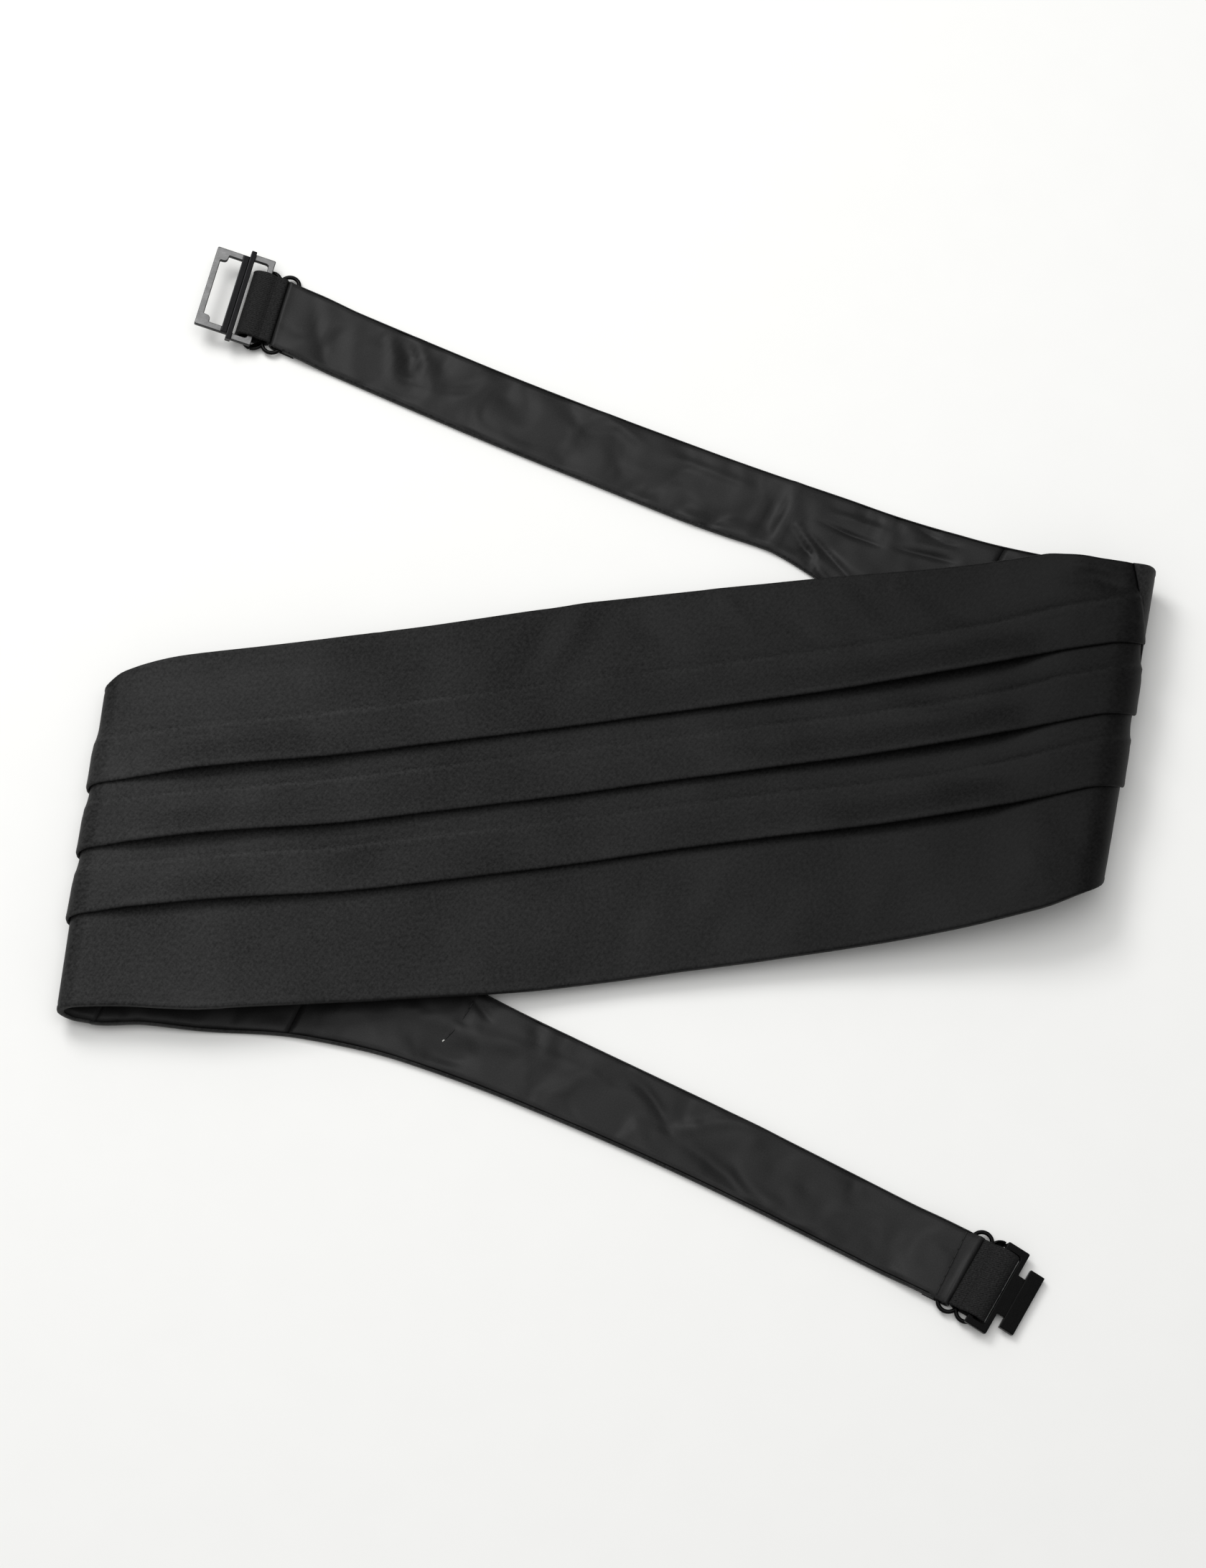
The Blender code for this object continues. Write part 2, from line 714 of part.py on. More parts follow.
def receiver(side, collection, helpers, metal):
    """The half with the window that takes the T: a frame, a double cross bar and two windows."""
    bar = RECEIVER_BAR / 2
    step = RIDGE[0] + 0.8
    rim = rounded(
        (
            (-bar, ELASTIC_PART_HALF),
            (-bar, -ELASTIC_PART_HALF),
            (step, -ELASTIC_PART_HALF),
            (step, -WINDOW_PART_HALF),
            (RECEIVER_END, -WINDOW_PART_HALF),
            (RECEIVER_END, WINDOW_PART_HALF),
            (step, WINDOW_PART_HALF),
            (step, ELASTIC_PART_HALF),
        ),
        CORNER,
    )
    wide = ELASTIC_PART_HALF - RECEIVER_RAIL
    behind_ridge = RIDGE[0] + 0.3
    elastic_window = rounded(((bar, wide), (behind_ridge, wide), (behind_ridge, -wide), (bar, -wide)), 1.0)
    inside = WINDOW_PART_HALF - RECEIVER_RAIL
    far = RECEIVER_END - RECEIVER_SIDE
    notch = far - NOTCH_ALONG
    shoulder = inside - NOTCH_ACROSS
    tee_window = rounded(
        (
            (PLATE[1] - 0.3, inside, 0.3),
            (notch, inside, 0.3),
            (notch, shoulder, 1.5),
            (far, shoulder, 0.3),
            (far, -shoulder, 0.3),
            (notch, -shoulder, 1.5),
            (notch, -inside, 0.3),
            (PLATE[1] - 0.3, -inside, 0.3),
        ),
        CORNER,
    )
    outlines = [rim, elastic_window, tee_window]
    obj = outline_object("receiver", outlines, BAR_THICK, EDGE_ROUND, collection, metal)
    centre = Matrix.Translation((RECEIVER_AXIS * MM, RECEIVER_ASIDE * MM, BUCKLE_HEIGHT * MM))
    obj.matrix_world = place_matrix(side) @ centre @ Matrix.Rotation(RECEIVER_TILT, 4, "Y")
    bottom = 0.1 - BAR_THICK / 2
    joined_bar(obj, RIDGE, RIDGE_HALF, bottom, RIDGE_TOP, helpers)
    joined_bar(obj, PLATE, PLATE_HALF, bottom + 0.05, PLATE_TOP, helpers)
    return obj


def main():
    clear_scene()
    parts = new_collection("Cummerbund")
    helpers = new_collection("Bars to join")
    satin = material("Black satin", "#202022", 0.45)
    lining = material("Black lining", "#27272a", 0.38)
    webbing = material("Black elastic", "#1c1c1e", 0.85)
    enamel = material("Black enamelled metal", "#0c0c0e", 0.25, 0.6)
    gunmetal = material("Dark plated metal", "#6c6c6e", 0.35, 1.0)
    front("pleated_front", front_columns, parts, satin)
    front("front_lining", front_lining_columns, parts, lining)
    tail(-1, "left", parts, satin, lining)
    tail(1, "right", parts, satin, lining)
    for side, word, far_end in (
        (-1, "left", 11.4),
        (1, "right", 11.2),
    ):
        elastic(f"elastic_{word}", side, far_end, parts, webbing)
        slider(f"slider_{word}", side, parts, enamel)
    hook(-1, parts, helpers, enamel)
    receiver(1, parts, helpers, gunmetal)


main()
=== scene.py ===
"""Black satin cummerbund, laid in a loose Z fold: the looks of its cloth, elastic and buckle.

The cloth is one band that is cut flat. A place on the cut is `along`, in mm from the middle of the
front towards its right-hand seam, and `across`, in mm towards the upper edge. `lift` is the height
above the band's middle surface, towards the outside of the garment. The function lay bends the flat
cut over the folds, as the solids under the cloth are bent.
"""

import math

import bmesh
import bpy
import numpy as np
from mathutils import Matrix, Vector


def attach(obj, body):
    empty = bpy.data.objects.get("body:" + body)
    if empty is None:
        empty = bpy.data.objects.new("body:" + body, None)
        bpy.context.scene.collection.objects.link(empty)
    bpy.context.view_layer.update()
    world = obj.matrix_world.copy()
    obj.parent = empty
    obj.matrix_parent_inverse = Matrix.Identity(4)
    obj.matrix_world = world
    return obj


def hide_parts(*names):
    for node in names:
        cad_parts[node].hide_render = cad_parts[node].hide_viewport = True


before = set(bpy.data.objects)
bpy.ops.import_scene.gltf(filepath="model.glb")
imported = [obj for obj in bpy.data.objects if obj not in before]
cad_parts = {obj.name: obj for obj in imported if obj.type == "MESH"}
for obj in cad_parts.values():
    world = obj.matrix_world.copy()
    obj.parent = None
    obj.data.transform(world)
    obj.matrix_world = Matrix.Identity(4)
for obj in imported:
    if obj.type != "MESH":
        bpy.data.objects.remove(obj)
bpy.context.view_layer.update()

bl_info = {
    "name": "Cummerbund",
    "version": (1, 0, 0),
    "blender": (4, 5, 0),
    "location": "3D View > Sidebar > Cummerbund",
    "description": "Cloth, elastic, buckle finishes and studio for a folded satin cummerbund",
    "category": "Add Mesh",
}

MM = 0.001

# The solids' walls, which the thin cloth follows on their outer side.
WALL = 1.0
STEP = 1.3
OUTER = STEP / 2

# Cut of the pleated front. Each row: along, half width above, half width below, pleat pitch.
FRONT_HALF = 179.5
FRONT_CUT = (
    (-179.5, 49.8, 46.2, 19.8),
    (-166.0, 50.4, 47.6, 20.0),
    (-152.0, 51.5, 48.6, 20.2),
    (-147.0, 54.2, 49.1, 20.25),
    (-140.0, 56.0, 49.9, 20.35),
    (-130.0, 57.3, 51.2, 20.5),
    (-119.0, 57.8, 53.0, 20.7),
    (-106.0, 58.2, 54.6, 20.95),
    (-90.0, 58.6, 55.2, 21.15),
    (-60.0, 58.9, 56.1, 21.5),
    (0.0, 60.5, 60.0, 21.8),
    (60.0, 60.0, 61.0, 22.2),
    (110.0, 57.2, 60.2, 23.0),
    (135.0, 55.1, 59.1, 23.0),
    (146.0, 53.2, 58.2, 22.8),
    (153.0, 51.8, 56.0, 22.5),
    (165.0, 48.4, 50.2, 21.9),
    (179.5, 44.6, 43.6, 21.2),
)
MIDDLE_LIP = -1.7
PLEAT_DEPTH = 9.0

# Cut of the two tails. Each row: distance past the seam, half width.
TAIL_CUT = (
    (0.0, 47.5),
    (15.0, 39.6),
    (30.0, 33.0),
    (60.0, 21.3),
    (90.0, 15.3),
    (124.0, 13.0),
    (180.0, 11.9),
    (290.0, 11.4),
)

# Length of the tails past the front, where their facings end, and the end of the bends past the
# seams. In a pair that of_side reads, the first value is for the left.
WORDS = ("left", "right")
TAILS = (267.4, 286.0)
FACINGS = (55.0, 48.5)
BEND_PAST = 22.0

# Where the tails are sewn on. The right seam shows, a little before the bend's outermost line.
SEAMS = (-179.5, 175.3)

# Clearance at each side of a seam, and how far the linings' seam lies past the outer one, so that no
# light shows through both.
SEAM_EASE = 0.03
LINING_SEAM_PAST = 1.2

# Grooves along the front's seams and the facings' far seams: depth, half width.
SEAM_GROOVE = (0.35, 1.1)
FACING_GROOVE = (0.3, 0.6)

# How far the linings are set in from the tails' edges: above, below, and at the strap's end.
UPPER_INSET = 0.45
LOWER_INSETS = (0.9, 0.45)
END_INSET = 0.15

# Heights over the band's middle surface: of the thin cloth's middle and of the lining's face. Two
# layers of satin that lie flat are PAIR apart.
SHEET = OUTER + 0.25
LINING_TOP = SHEET + 0.225
PAIR = 0.55

# A pleat in section, measured upwards from its lip. The cloth starts to rise over the layers beneath
# at RISE_FROM, to open its lip at LIP_OPENS and to thicken at LIP_EDGE.
PLEAT_HEIGHT = 1.1
RISE_FROM = 19.5
RISE_OVER = 10.0
LIP_OPENS = 11.0
LIP_EDGE = 3.5
LIP_BEAD = 0.12
LIP_ROUND = 0.6

# Where a pleat's inner fold prints through, above its lip, and the print at which the painted highlight
# over it is full.
FOLD_PRINT = 13.7
FULL_HIGHLIGHT_PRINT = 0.45

# How far the right tail's lower edge is drawn in by its seam where it meets the front. Each row:
# along, how far in.
EDGE_PULL = (
    (240.0, 0.0),
    (262.0, 0.3),
    (276.0, 1.5),
    (290.0, 2.4),
    (306.0, 1.1),
    (322.0, 0.2),
    (335.0, 0.0),
)

# How the band lies. The fold lines run in one direction, and the band crosses them on the bias.
FOLD_LINE = math.radians(81.6)
BIAS = math.radians(17.3)
FAN = 0.04 / 150
MIDDLE_SHIFT = 12.5
PLACE = (2.35, -5.39)

# Side view of the front, square to the fold lines. Each row: reach, height of the middle surface.
FRONT_HEIGHTS = (
    (-151.0, 11.5),
    (-141.0, 11.9),
    (-110.0, 12.0),
    (-60.0, 9.0),
    (0.0, 5.5),
    (60.0, 8.3),
    (110.0, 14.6),
    (129.5, 18.6),
    (139.5, 19.3),
)
LEFT_BULGE = 5.5
RIGHT_BULGE = 7.0
RIGHT_PUSH = 2.2
RIGHT_EDGE = 153.5
PUSH_WIDTH = 14.0
PUSH_FAN = 260.0
PLEATS_UNDER = 3.9
ON_TABLE = 1.15
TABLE_FALL = 42.0
BEND_ENDS = (8.0, 12.0)
FLAP_FALL = (1.5, 14.0)

# How far the band strays sideways from its straight line. Each row: along, stray.
STRAY = (
    (-457.5, 2.8),
    (-350.0, 5.7),
    (-217.5, 4.0),
    (-170.0, 4.6),
    (-120.0, 2.8),
    (-67.5, 0.0),
    (12.5, -0.1),
    (50.0, -1.2),
    (92.5, -3.4),
    (132.0, -4.7),
    (160.0, -3.8),
    (179.5, -1.8),
    (200.0, 2.0),
    (242.5, 10.7),
    (277.0, 12.9),
    (320.0, 11.2),
    (400.0, 7.8),
    (470.0, 6.9),
)

# Wire slider and elastic, measured outward from the strap's end.
WIRE = 1.3
BAR_PITCH = 6.1
BAR_A = -3.7
BAR_B = BAR_A + BAR_PITCH
BAR_HEIGHT = 1.95
SLIDER_HALF = 14.0
STRAP_TURN = 1.45
STRAP_TURN_FROM = -1.6
FLAP = 8.5
ELASTIC_HALF = 11.0
ELASTIC_TOP = 6.05
ELASTIC_ASIDE = (0.0, -0.3)
ELASTIC_ENDS = (11.4, 11.2)
SELVEDGE = 1.2
HEADINGS = (math.radians(-30.0), math.radians(165.5))

# The elastic's way back to the slider's middle bar: how far out from it, and below the loop's top.
ELASTIC_BACK = (
    (4.2, 0.0),
    (3.4, 0.17),
    (2.6, 0.5),
    (1.9, 1.0),
    (1.2, 1.5),
    (-0.4, 1.7),
    (-1.5, 1.75),
    (-1.95, 2.1),
    (-2.1, 2.65),
    (-1.85, 3.45),
)

# Receiver, measured outward from its bar, for the dark double bar between its two windows.
RECEIVER_AXIS = 6.3
RECEIVER_ASIDE = -1.3
RECEIVER_TILT = math.radians(-13.0)
BUCKLE_HEIGHT = 4.2
DOUBLE_BAR = (5.6, 9.3)

# How far the pleats' lips stand open. Each row: along, then the gap under lips 1, 2 and 3.
LIP_GAPS = (
    (-179.5, 0.05, 0.05, 0.05),
    (-158.0, 0.05, 0.05, 0.10),
    (-146.0, 0.10, 0.62, 0.75),
    (-134.0, 1.40, 2.35, 2.19),
    (-120.0, 3.12, 2.97, 2.50),
    (-95.0, 2.65, 2.35, 2.19),
    (-60.0, 1.56, 1.72, 1.56),
    (0.0, 0.94, 1.33, 1.00),
    (50.0, 1.56, 1.49, 1.40),
    (80.0, 2.35, 2.19, 2.03),
    (110.0, 2.97, 2.65, 2.50),
    (128.0, 2.50, 2.50, 2.19),
    (140.0, 0.62, 0.75, 0.62),
    (149.0, 0.05, 0.05, 0.05),
    (179.5, 0.05, 0.05, 0.05),
)

# How strongly the pleats' inner folds print through the cloth above them. Each row: along, height.
PRINT_THROUGH = (
    (-179.5, 0.05),
    (-145.0, 0.18),
    (-110.0, 0.30),
    (-80.0, 0.45),
    (-45.0, 0.45),
    (-15.0, 0.22),
    (20.0, 0.18),
    (60.0, 0.30),
    (100.0, 0.22),
    (140.0, 0.33),
    (179.5, 0.34),
)

# Creases of the front, ironed or pulled. Each row: height (a trough is negative), half width, and the
# points that it runs through as along, across.
FRONT_CREASES = (
    (-0.64, 5.0, ((-128, 49), (-92, 50), (-40, 49), (-20, 51))),
    (0.60, 3.4, ((12, 61), (6, 50), (-4, 40))),
    (-0.54, 3.6, ((3, 61), (-9, 44))),
    (-0.67, 5.5, ((24, 55), (34, 43))),
    (0.54, 3.0, ((52, 58), (60, 44))),
    (-0.67, 5.0, ((66, 55), (79, 40))),
    (0.42, 3.5, ((88, 56), (98, 40))),
    (-0.42, 4.0, ((112, 52), (128, 36))),
    (-0.80, 2.6, ((158, 44), (165, 44), (172, 37))),
    (0.48, 1.6, ((160, 49), (171, 43))),
    (0.40, 1.3, ((162, 33), (168, 34), (174, 35))),
    (0.40, 1.2, ((163, 25), (169, 26), (174, 26))),
    (0.42, 2.4, ((-88, -14), (-58, -7), (-30, -6))),
    (-0.32, 3.0, ((-96, -8), (-70, -4))),
    (0.35, 2.2, ((-104, 8), (-84, 12))),
    (0.35, 3.0, ((-140, 30), (-112, 33))),
    (-0.35, 4.0, ((40, 12), (62, 6))),
    (0.32, 3.0, ((96, 14), (118, 8))),
    (-0.35, 3.5, ((104, -10), (128, -14))),
    (0.58, 4.0, ((-98, -48), (-84, -54))),
    (-0.48, 5.0, ((-76, -40), (-70, -54))),
    (-0.58, 11.0, ((-56, -38), (-8, -36))),
    (0.48, 5.0, ((-42, -46), (-34, -57))),
    (-0.48, 4.5, ((2, -58), (14, -34))),
    (0.51, 5.0, ((20, -59), (40, -32))),
    (-0.42, 5.0, ((44, -60), (60, -38))),
    (0.32, 4.0, ((76, -58), (90, -40))),
    (-0.70, 5.0, ((138, -24), (150, -46))),
    (0.48, 3.5, ((128, -34), (136, -52))),
    (-0.29, 0.9, ((-135, 20), (-133, 27))),
    (-0.29, 0.9, ((-134, -1), (-130, 5))),
    (-0.32, 1.0, ((131, -48), (132, -56))),
    (-0.32, 1.0, ((-120, -50), (-119, -57))),
    (-0.29, 1.0, ((-52, 53), (-51, 60))),
    (-0.29, 1.0, ((102, 52), (103, 58))),
)

# Creases of the tails, lining side up, in the same way. They start at the strap's end, and the last
# ones of each tail lie under the front.
LEFT_CREASES = (
    (-0.90, 1.0, ((-444.6, 12), (-444.2, 3), (-444, -12))),
    (-0.35, 4.0, ((-434, 5), (-428, -5))),
    (-0.48, 4.5, ((-419, -1), (-412, -4))),
    (-0.48, 4.0, ((-411, -5), (-403, -3))),
    (0.35, 3.0, ((-408, 7), (-398, 5))),
    (-0.58, 3.4, ((-396, 3), (-390, 1))),
    (-0.58, 3.6, ((-388, 6), (-381, 3))),
    (0.74, 2.6, ((-391, -8), (-382, -8), (-374, -5))),
    (0.80, 1.8, ((-353, 0), (-366, 9), (-381, 13))),
    (-0.85, 2.6, ((-353, -2), (-368, -5), (-382, -9))),
    (0.54, 3.0, ((-362, 3), (-372, 4))),
    (-0.80, 2.0, ((-334, 9), (-342, 5), (-350, -1))),
    (0.54, 2.4, ((-340, -3), (-346, -10))),
    (-0.42, 4.0, ((-324, -7), (-316, -9))),
    (0.83, 3.2, ((-262, 0), (-282, 0), (-297, 3), (-322, 4))),
    (-0.80, 1.7, ((-301, 13), (-304, 5))),
    (0.42, 2.0, ((-311, 12), (-313, 6))),
    (-0.74, 0.6, ((-280, 10), (-280, 3), (-278, -4))),
    (-0.80, 1.0, ((-281, 11), (-287, 7))),
    (-0.48, 3.0, ((-288, -8), (-272, -9))),
    (-0.58, 2.4, ((-262, 12), (-256, 4))),
    (0.48, 2.6, ((-252, -6), (-240, -12))),
    (-0.48, 3.5, ((-226, 12), (-214, 2))),
    (0.48, 3.0, ((-222, -18), (-206, -10))),
    (-0.64, 1.0, ((-186, -38), (-188, -47))),
    (-0.48, 1.2, ((-196, 30), (-204, 24))),
)
RIGHT_CREASES = (
    (-0.51, 2.0, ((456, 9), (448, -8))),
    (0.36, 2.4, ((442, 8), (438, -6))),
    (-0.54, 3.2, ((435, 7), (430, 5))),
    (-1.20, 2.4, ((427, 10), (422, 4), (420, -3))),
    (0.51, 1.5, ((431, 9), (426, 2), (424, -4))),
    (0.45, 1.6, ((421, 11), (416, 4), (415, -4))),
    (-0.51, 3.6, ((414, 7), (408, 5))),
    (0.33, 3.0, ((404, -5), (396, -3))),
    (-0.51, 4.0, ((392, 5), (384, 3))),
    (-0.60, 3.2, ((371, 9), (365, 7))),
    (-0.60, 3.2, ((367, -7), (360, -8))),
    (0.60, 2.0, ((357, 11), (342, 6))),
    (-0.60, 3.4, ((337, -8), (328, -8))),
    (-0.63, 1.4, ((341, -13), (337, -5))),
    (0.54, 1.5, ((333, -13), (330, -6))),
    (-0.69, 1.3, ((325, -14), (321, -6))),
    (0.54, 1.4, ((318, -13), (315, -6))),
    (-0.69, 1.3, ((313, -14), (309, -5))),
    (0.60, 1.7, ((330, 6), (306, 6))),
    (1.20, 1.4, ((293, 13), (291, 1), (291, -11))),
    (-0.90, 1.2, ((297, 10), (296, 0), (297, -10))),
    (0.93, 1.3, ((290, 7), (287, 0), (274, -9))),
    (-1.11, 1.2, ((283, -1), (274, -5), (264, -9))),
    (-0.90, 1.1, ((286, -2), (280, -7), (276, -13))),
    (0.60, 1.2, ((280, -8), (270, -13))),
    (-0.90, 0.9, ((280, 4), (271, 4), (262, 5))),
    (0.54, 1.4, ((278, 8), (262, 10))),
    (-0.90, 0.9, ((256, 7), (246, 10), (239, 12))),
    (-0.83, 0.9, ((253, 16), (246, 16))),
    (-0.75, 0.8, ((245, 15), (241, 17))),
    (0.51, 1.5, ((252, 11), (240, 15))),
    (-0.69, 1.2, ((271, 15), (268, 9))),
    (-0.69, 1.2, ((261, 17), (258, 11))),
    (-0.60, 1.2, ((250, 20), (248, 14))),
    (-0.45, 3.0, ((226, 4), (214, -6))),
    (0.45, 2.6, ((232, -14), (216, -20))),
    (-0.51, 2.0, ((206, 26), (198, 18))),
    (0.42, 2.4, ((200, -22), (190, -30))),
)

# Sewn lines on the left tail's lining, as along, across: across the strap's end, and the hand-sewn
# slit that the tail is turned out through, with the end of its basting thread.
STRAP_LINE = ((-441.6, 10.6), (-441.9, -10.2))
SLIT_LINE = ((-281.0, 13.0), (-280.4, 6.0), (-279.6, 0.0), (-278.0, -4.5))
THREAD_END = ((-278.1, -4.2), (-277.8, -4.9))

# Studio, with places and sizes in metres. The floor lies just under the table's level, so that
# nothing flickers in it. Each light: name, place, width, power in watts. They face the part.
FLOOR_SIZE = 4.0
FLOOR_DROP = 0.00005
SKY_STRENGTH = 0.34
LIGHTS = (
    ("Ceiling softbox", (-0.10, 0.10, 1.75), 1.8, 17.0),
    ("Window light", (-0.45, 0.62, 0.95), 0.5, 6.5),
)

# Camera, at the photograph's angle: the place it aims at in mm, how far it stands back from there
# in metres, its tilt, and its lens in mm.
CAMERA_TARGET = (-3.276, -2.447, 0.0)
CAMERA_BACK = (0.0, -0.51303, 1.40954)
CAMERA_TILT = math.radians(20.0)
CAMERA_LENS = 113.49


def hexed(value):
    """A linear colour from sRGB hex."""
    channels = [int(value[i : i + 2], 16) / 255 for i in (1, 3, 5)]
    return tuple(c / 12.92 if c <= 0.04045 else ((c + 0.055) / 1.055) ** 2.4 for c in channels)


def length_property(name, description, default):
    return bpy.props.FloatProperty(
        name=name, description=description, default=default * MM, min=0.0, unit="LENGTH", precision=5
    )


def colour_property(name, description, default):
    return bpy.props.FloatVectorProperty(
        name=name, description=description, default=hexed(default), min=0.0, max=1.0, subtype="COLOR"
    )


class CummerbundSizes(bpy.types.PropertyGroup):
    cloth: length_property("Cloth", "Thickness of the satin with its interfacing", 0.5)
    lining: length_property("Lining", "Thickness of the lining", 0.45)
    elastic: length_property("Elastic", "Thickness of the elastic webbing", 1.0)
    weave: length_property("Weave", "Spacing of the satin's diagonal lines, coarse enough to show", 0.7)
    rib: length_property("Rib", "Spacing of the elastic's ribs", 0.9)
    thread: length_property("Thread", "Diameter of the sewing thread", 0.42)
    stitch: length_property("Stitch", "Length of one stitch", 2.4)


class CummerbundColours(bpy.types.PropertyGroup):
    satin: colour_property("Satin", "Outer cloth", "#252525")
    lining: colour_property("Lining", "Lining and facings", "#1e1e1e")
    elastic: colour_property("Elastic", "Elastic webbing", "#1b1b1b")
    enamel: colour_property("Enamel", "Hook and sliders", "#040404")
    plating: colour_property("Plating", "Brushed faces of the receiver", "#858585")
    # Dark colour of the receiver's double bar and sides, also used as painted shade round its edges.
    dark_plating: colour_property("Dark plating", "Edges and double bar of the receiver", "#1b1b1c")
    thread: colour_property("Thread", "Sewing thread", "#0b0b0b")
    loose_thread: colour_property("Loose thread", "End of basting thread at the slit", "#c9c9c4")
    floor: colour_property("Floor", "Pale studio floor", "#f3f3f1")


# Laying the cut in the room


def ramp(value):
    """Smooth step from 0 to 1."""
    value = np.clip(value, 0.0, 1.0)
    return value * value * (3.0 - 2.0 * value)


def bell(distance, half_width):
    return np.exp(-((distance / half_width) ** 2))


def follow(rows, column, place):
    """Smooth curve through one column of a table, level at its peaks, read at each place."""
    table = np.array(rows, dtype=float)
    x = table[:, 0]
    y = table[:, column]
    width = np.diff(x)
    slope = np.diff(y) / width
    tangent = np.zeros_like(y)
    same_way = slope[:-1] * slope[1:] > 0
    heavy = 2 * width[1:] + width[:-1]
    light = width[1:] + 2 * width[:-1]
    safe = np.where(same_way, slope[:-1], 1.0), np.where(same_way, slope[1:], 1.0)
    mean = (heavy + light) / (heavy / safe[0] + light / safe[1])
    tangent[1:-1] = np.where(same_way, mean, 0.0)
    tangent[0] = slope[0] / 2
    tangent[-1] = slope[-1] / 2
    place = np.clip(place, x[0], x[-1])
    i = np.clip(np.searchsorted(x, place) - 1, 0, len(x) - 2)
    t = (place - x[i]) / width[i]
    bend_in = t * (1 - t) ** 2 * width[i] * tangent[i]
    bend_out = t * t * (t - 1) * width[i] * tangent[i + 1]
    return y[i] + (y[i + 1] - y[i]) * t * t * (3 - 2 * t) + bend_in + bend_out


def side_view():
    """Arc length, reach, height and outward direction of the band's middle surface, side on."""
    left, right = FRONT_HEIGHTS[0], FRONT_HEIGHTS[-1]
    turn = np.linspace(0.0, math.pi, 60)[1:-1]
    run = np.linspace(0.0, 330.0, 200)
    front = np.linspace(left[0], right[0], 400)
    half_left = (left[1] - PLEATS_UNDER) / 2
    half_right = (right[1] - PLEATS_UNDER) / 2
    reach = np.concatenate((
        left[0] + run[::-1],
        left[0] - LEFT_BULGE * np.sin(turn),
        front,
        right[0] + RIGHT_BULGE * np.sin(turn),
        right[0] - run,
    ))
    height = np.concatenate((
        np.full_like(run, PLEATS_UNDER),
        PLEATS_UNDER + half_left * (1 - np.cos(turn)),
        follow(FRONT_HEIGHTS, 1, front),
        PLEATS_UNDER + half_right * (1 + np.cos(turn)),
        np.full_like(run, PLEATS_UNDER),
    ))
    arc = np.concatenate(([0.0], np.cumsum(np.hypot(np.diff(reach), np.diff(height)))))
    first = len(run) + len(turn)
    arc -= np.interp(0.0, front, arc[first : first + len(front)])
    along_reach, along_height = np.gradient(reach), np.gradient(height)
    size = np.hypot(along_reach, along_height)
    return arc, reach, height, -along_height / size, along_reach / size


SIDE = side_view()


def table_drop(along, crossing):
    """How far a tail sinks to the table, past the end of the bend and past the pleats' seam."""
    arc, reach = SIDE[0], SIDE[1]
    half = len(reach) // 2
    left_end = arc[np.argmin(reach[:half])] - BEND_ENDS[0]
    right_end = arc[half + np.argmax(reach[half:])] + BEND_ENDS[1]
    past_bend = np.maximum(left_end - crossing, crossing - right_end)
    past_seam = np.abs(along) - FRONT_HALF
    drop = ramp(past_bend / TABLE_FALL) * ramp(past_seam / TABLE_FALL)
    drop = drop * (PLEATS_UNDER - ON_TABLE)
    from_flap = FRONT_HALF + np.where(along < 0, *TAILS) - np.abs(along) - FLAP
    return drop - STEP * (1 - ramp((from_flap - FLAP_FALL[0]) / FLAP_FALL[1]))


def lay(along, across, lift):
    """Places in the room, in mm, of places on the flat cut."""
    arc, reach, height, out_reach, out_height = SIDE
    run = along - MIDDLE_SHIFT
    crossing = run * math.cos(BIAS) - across * math.sin(BIAS)
    level = run * math.sin(BIAS) + across * math.cos(BIAS) + follow(STRAY, 1, along)
    q = np.interp(crossing, arc, reach) + lift * np.interp(crossing, arc, out_reach)
    z = np.interp(crossing, arc, height) + lift * np.interp(crossing, arc, out_height)
    q = q + RIGHT_PUSH * bell(crossing - RIGHT_EDGE, PUSH_WIDTH) * (1 + across / PUSH_FAN)
    q = q * (1 + FAN * across)
    z = z - table_drop(along, crossing)
    x = PLACE[0] + q * math.sin(FOLD_LINE) + level * math.cos(FOLD_LINE)
    y = PLACE[1] - q * math.cos(FOLD_LINE) + level * math.sin(FOLD_LINE)
    return np.stack((x, y, z), axis=-1)


def creased(creases, along, across):
    """Height that the creases add at each place: soft ridges and troughs that fade at both ends."""
    total = np.zeros_like(along)
    for height, half_width, points in creases:
        points = np.array(points, dtype=float)
        pieces = np.diff(points, axis=0)
        lengths = np.hypot(pieces[:, 0], pieces[:, 1])
        starts = np.concatenate(([0.0], np.cumsum(lengths)))
        best = np.full(along.shape, 1e9)
        share = np.zeros_like(along)
        for point, piece, length, start in zip(points, pieces, lengths, starts):
            t = ((along - point[0]) * piece[0] + (across - point[1]) * piece[1]) / length**2
            t = np.clip(t, 0.0, 1.0)
            gap = np.hypot(along - point[0] - t * piece[0], across - point[1] - t * piece[1])
            nearer = gap < best
            best = np.where(nearer, gap, best)
            share = np.where(nearer, (start + t * length) / starts[-1], share)
        fade = 0.25 + 0.75 * np.sin(np.pi * np.clip(share, 0.03, 0.97)) ** 0.6
        total += height * fade * bell(best, half_width)
    return total


# Making pieces


def of_side(side, pair):
    """The left or the right value of a pair. A side is -1 for the left and 1 for the right."""
    return pair[int(side > 0)]


def settle(obj, slot, *nodes):
    """Shades a new piece smooth, lets it ride, and hides the solids that it stands for."""
    obj.data.shade_smooth()
    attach(obj, "sash")
    if nodes:
        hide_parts(*nodes)


def new_object(name, build, finish):
    mesh = bpy.data.meshes.new(name)
    build.to_mesh(mesh)
    build.free()
    obj = bpy.data.objects.new(name, mesh)
    bpy.context.scene.collection.objects.link(obj)
    mesh.materials.append(finish)
    return obj


def mark(obj, name, values):
    """Stores one number for each point of a piece, for its material to read."""
    obj.data.attributes.new(name, "FLOAT", "POINT").data.foreach_set("value", values.ravel())


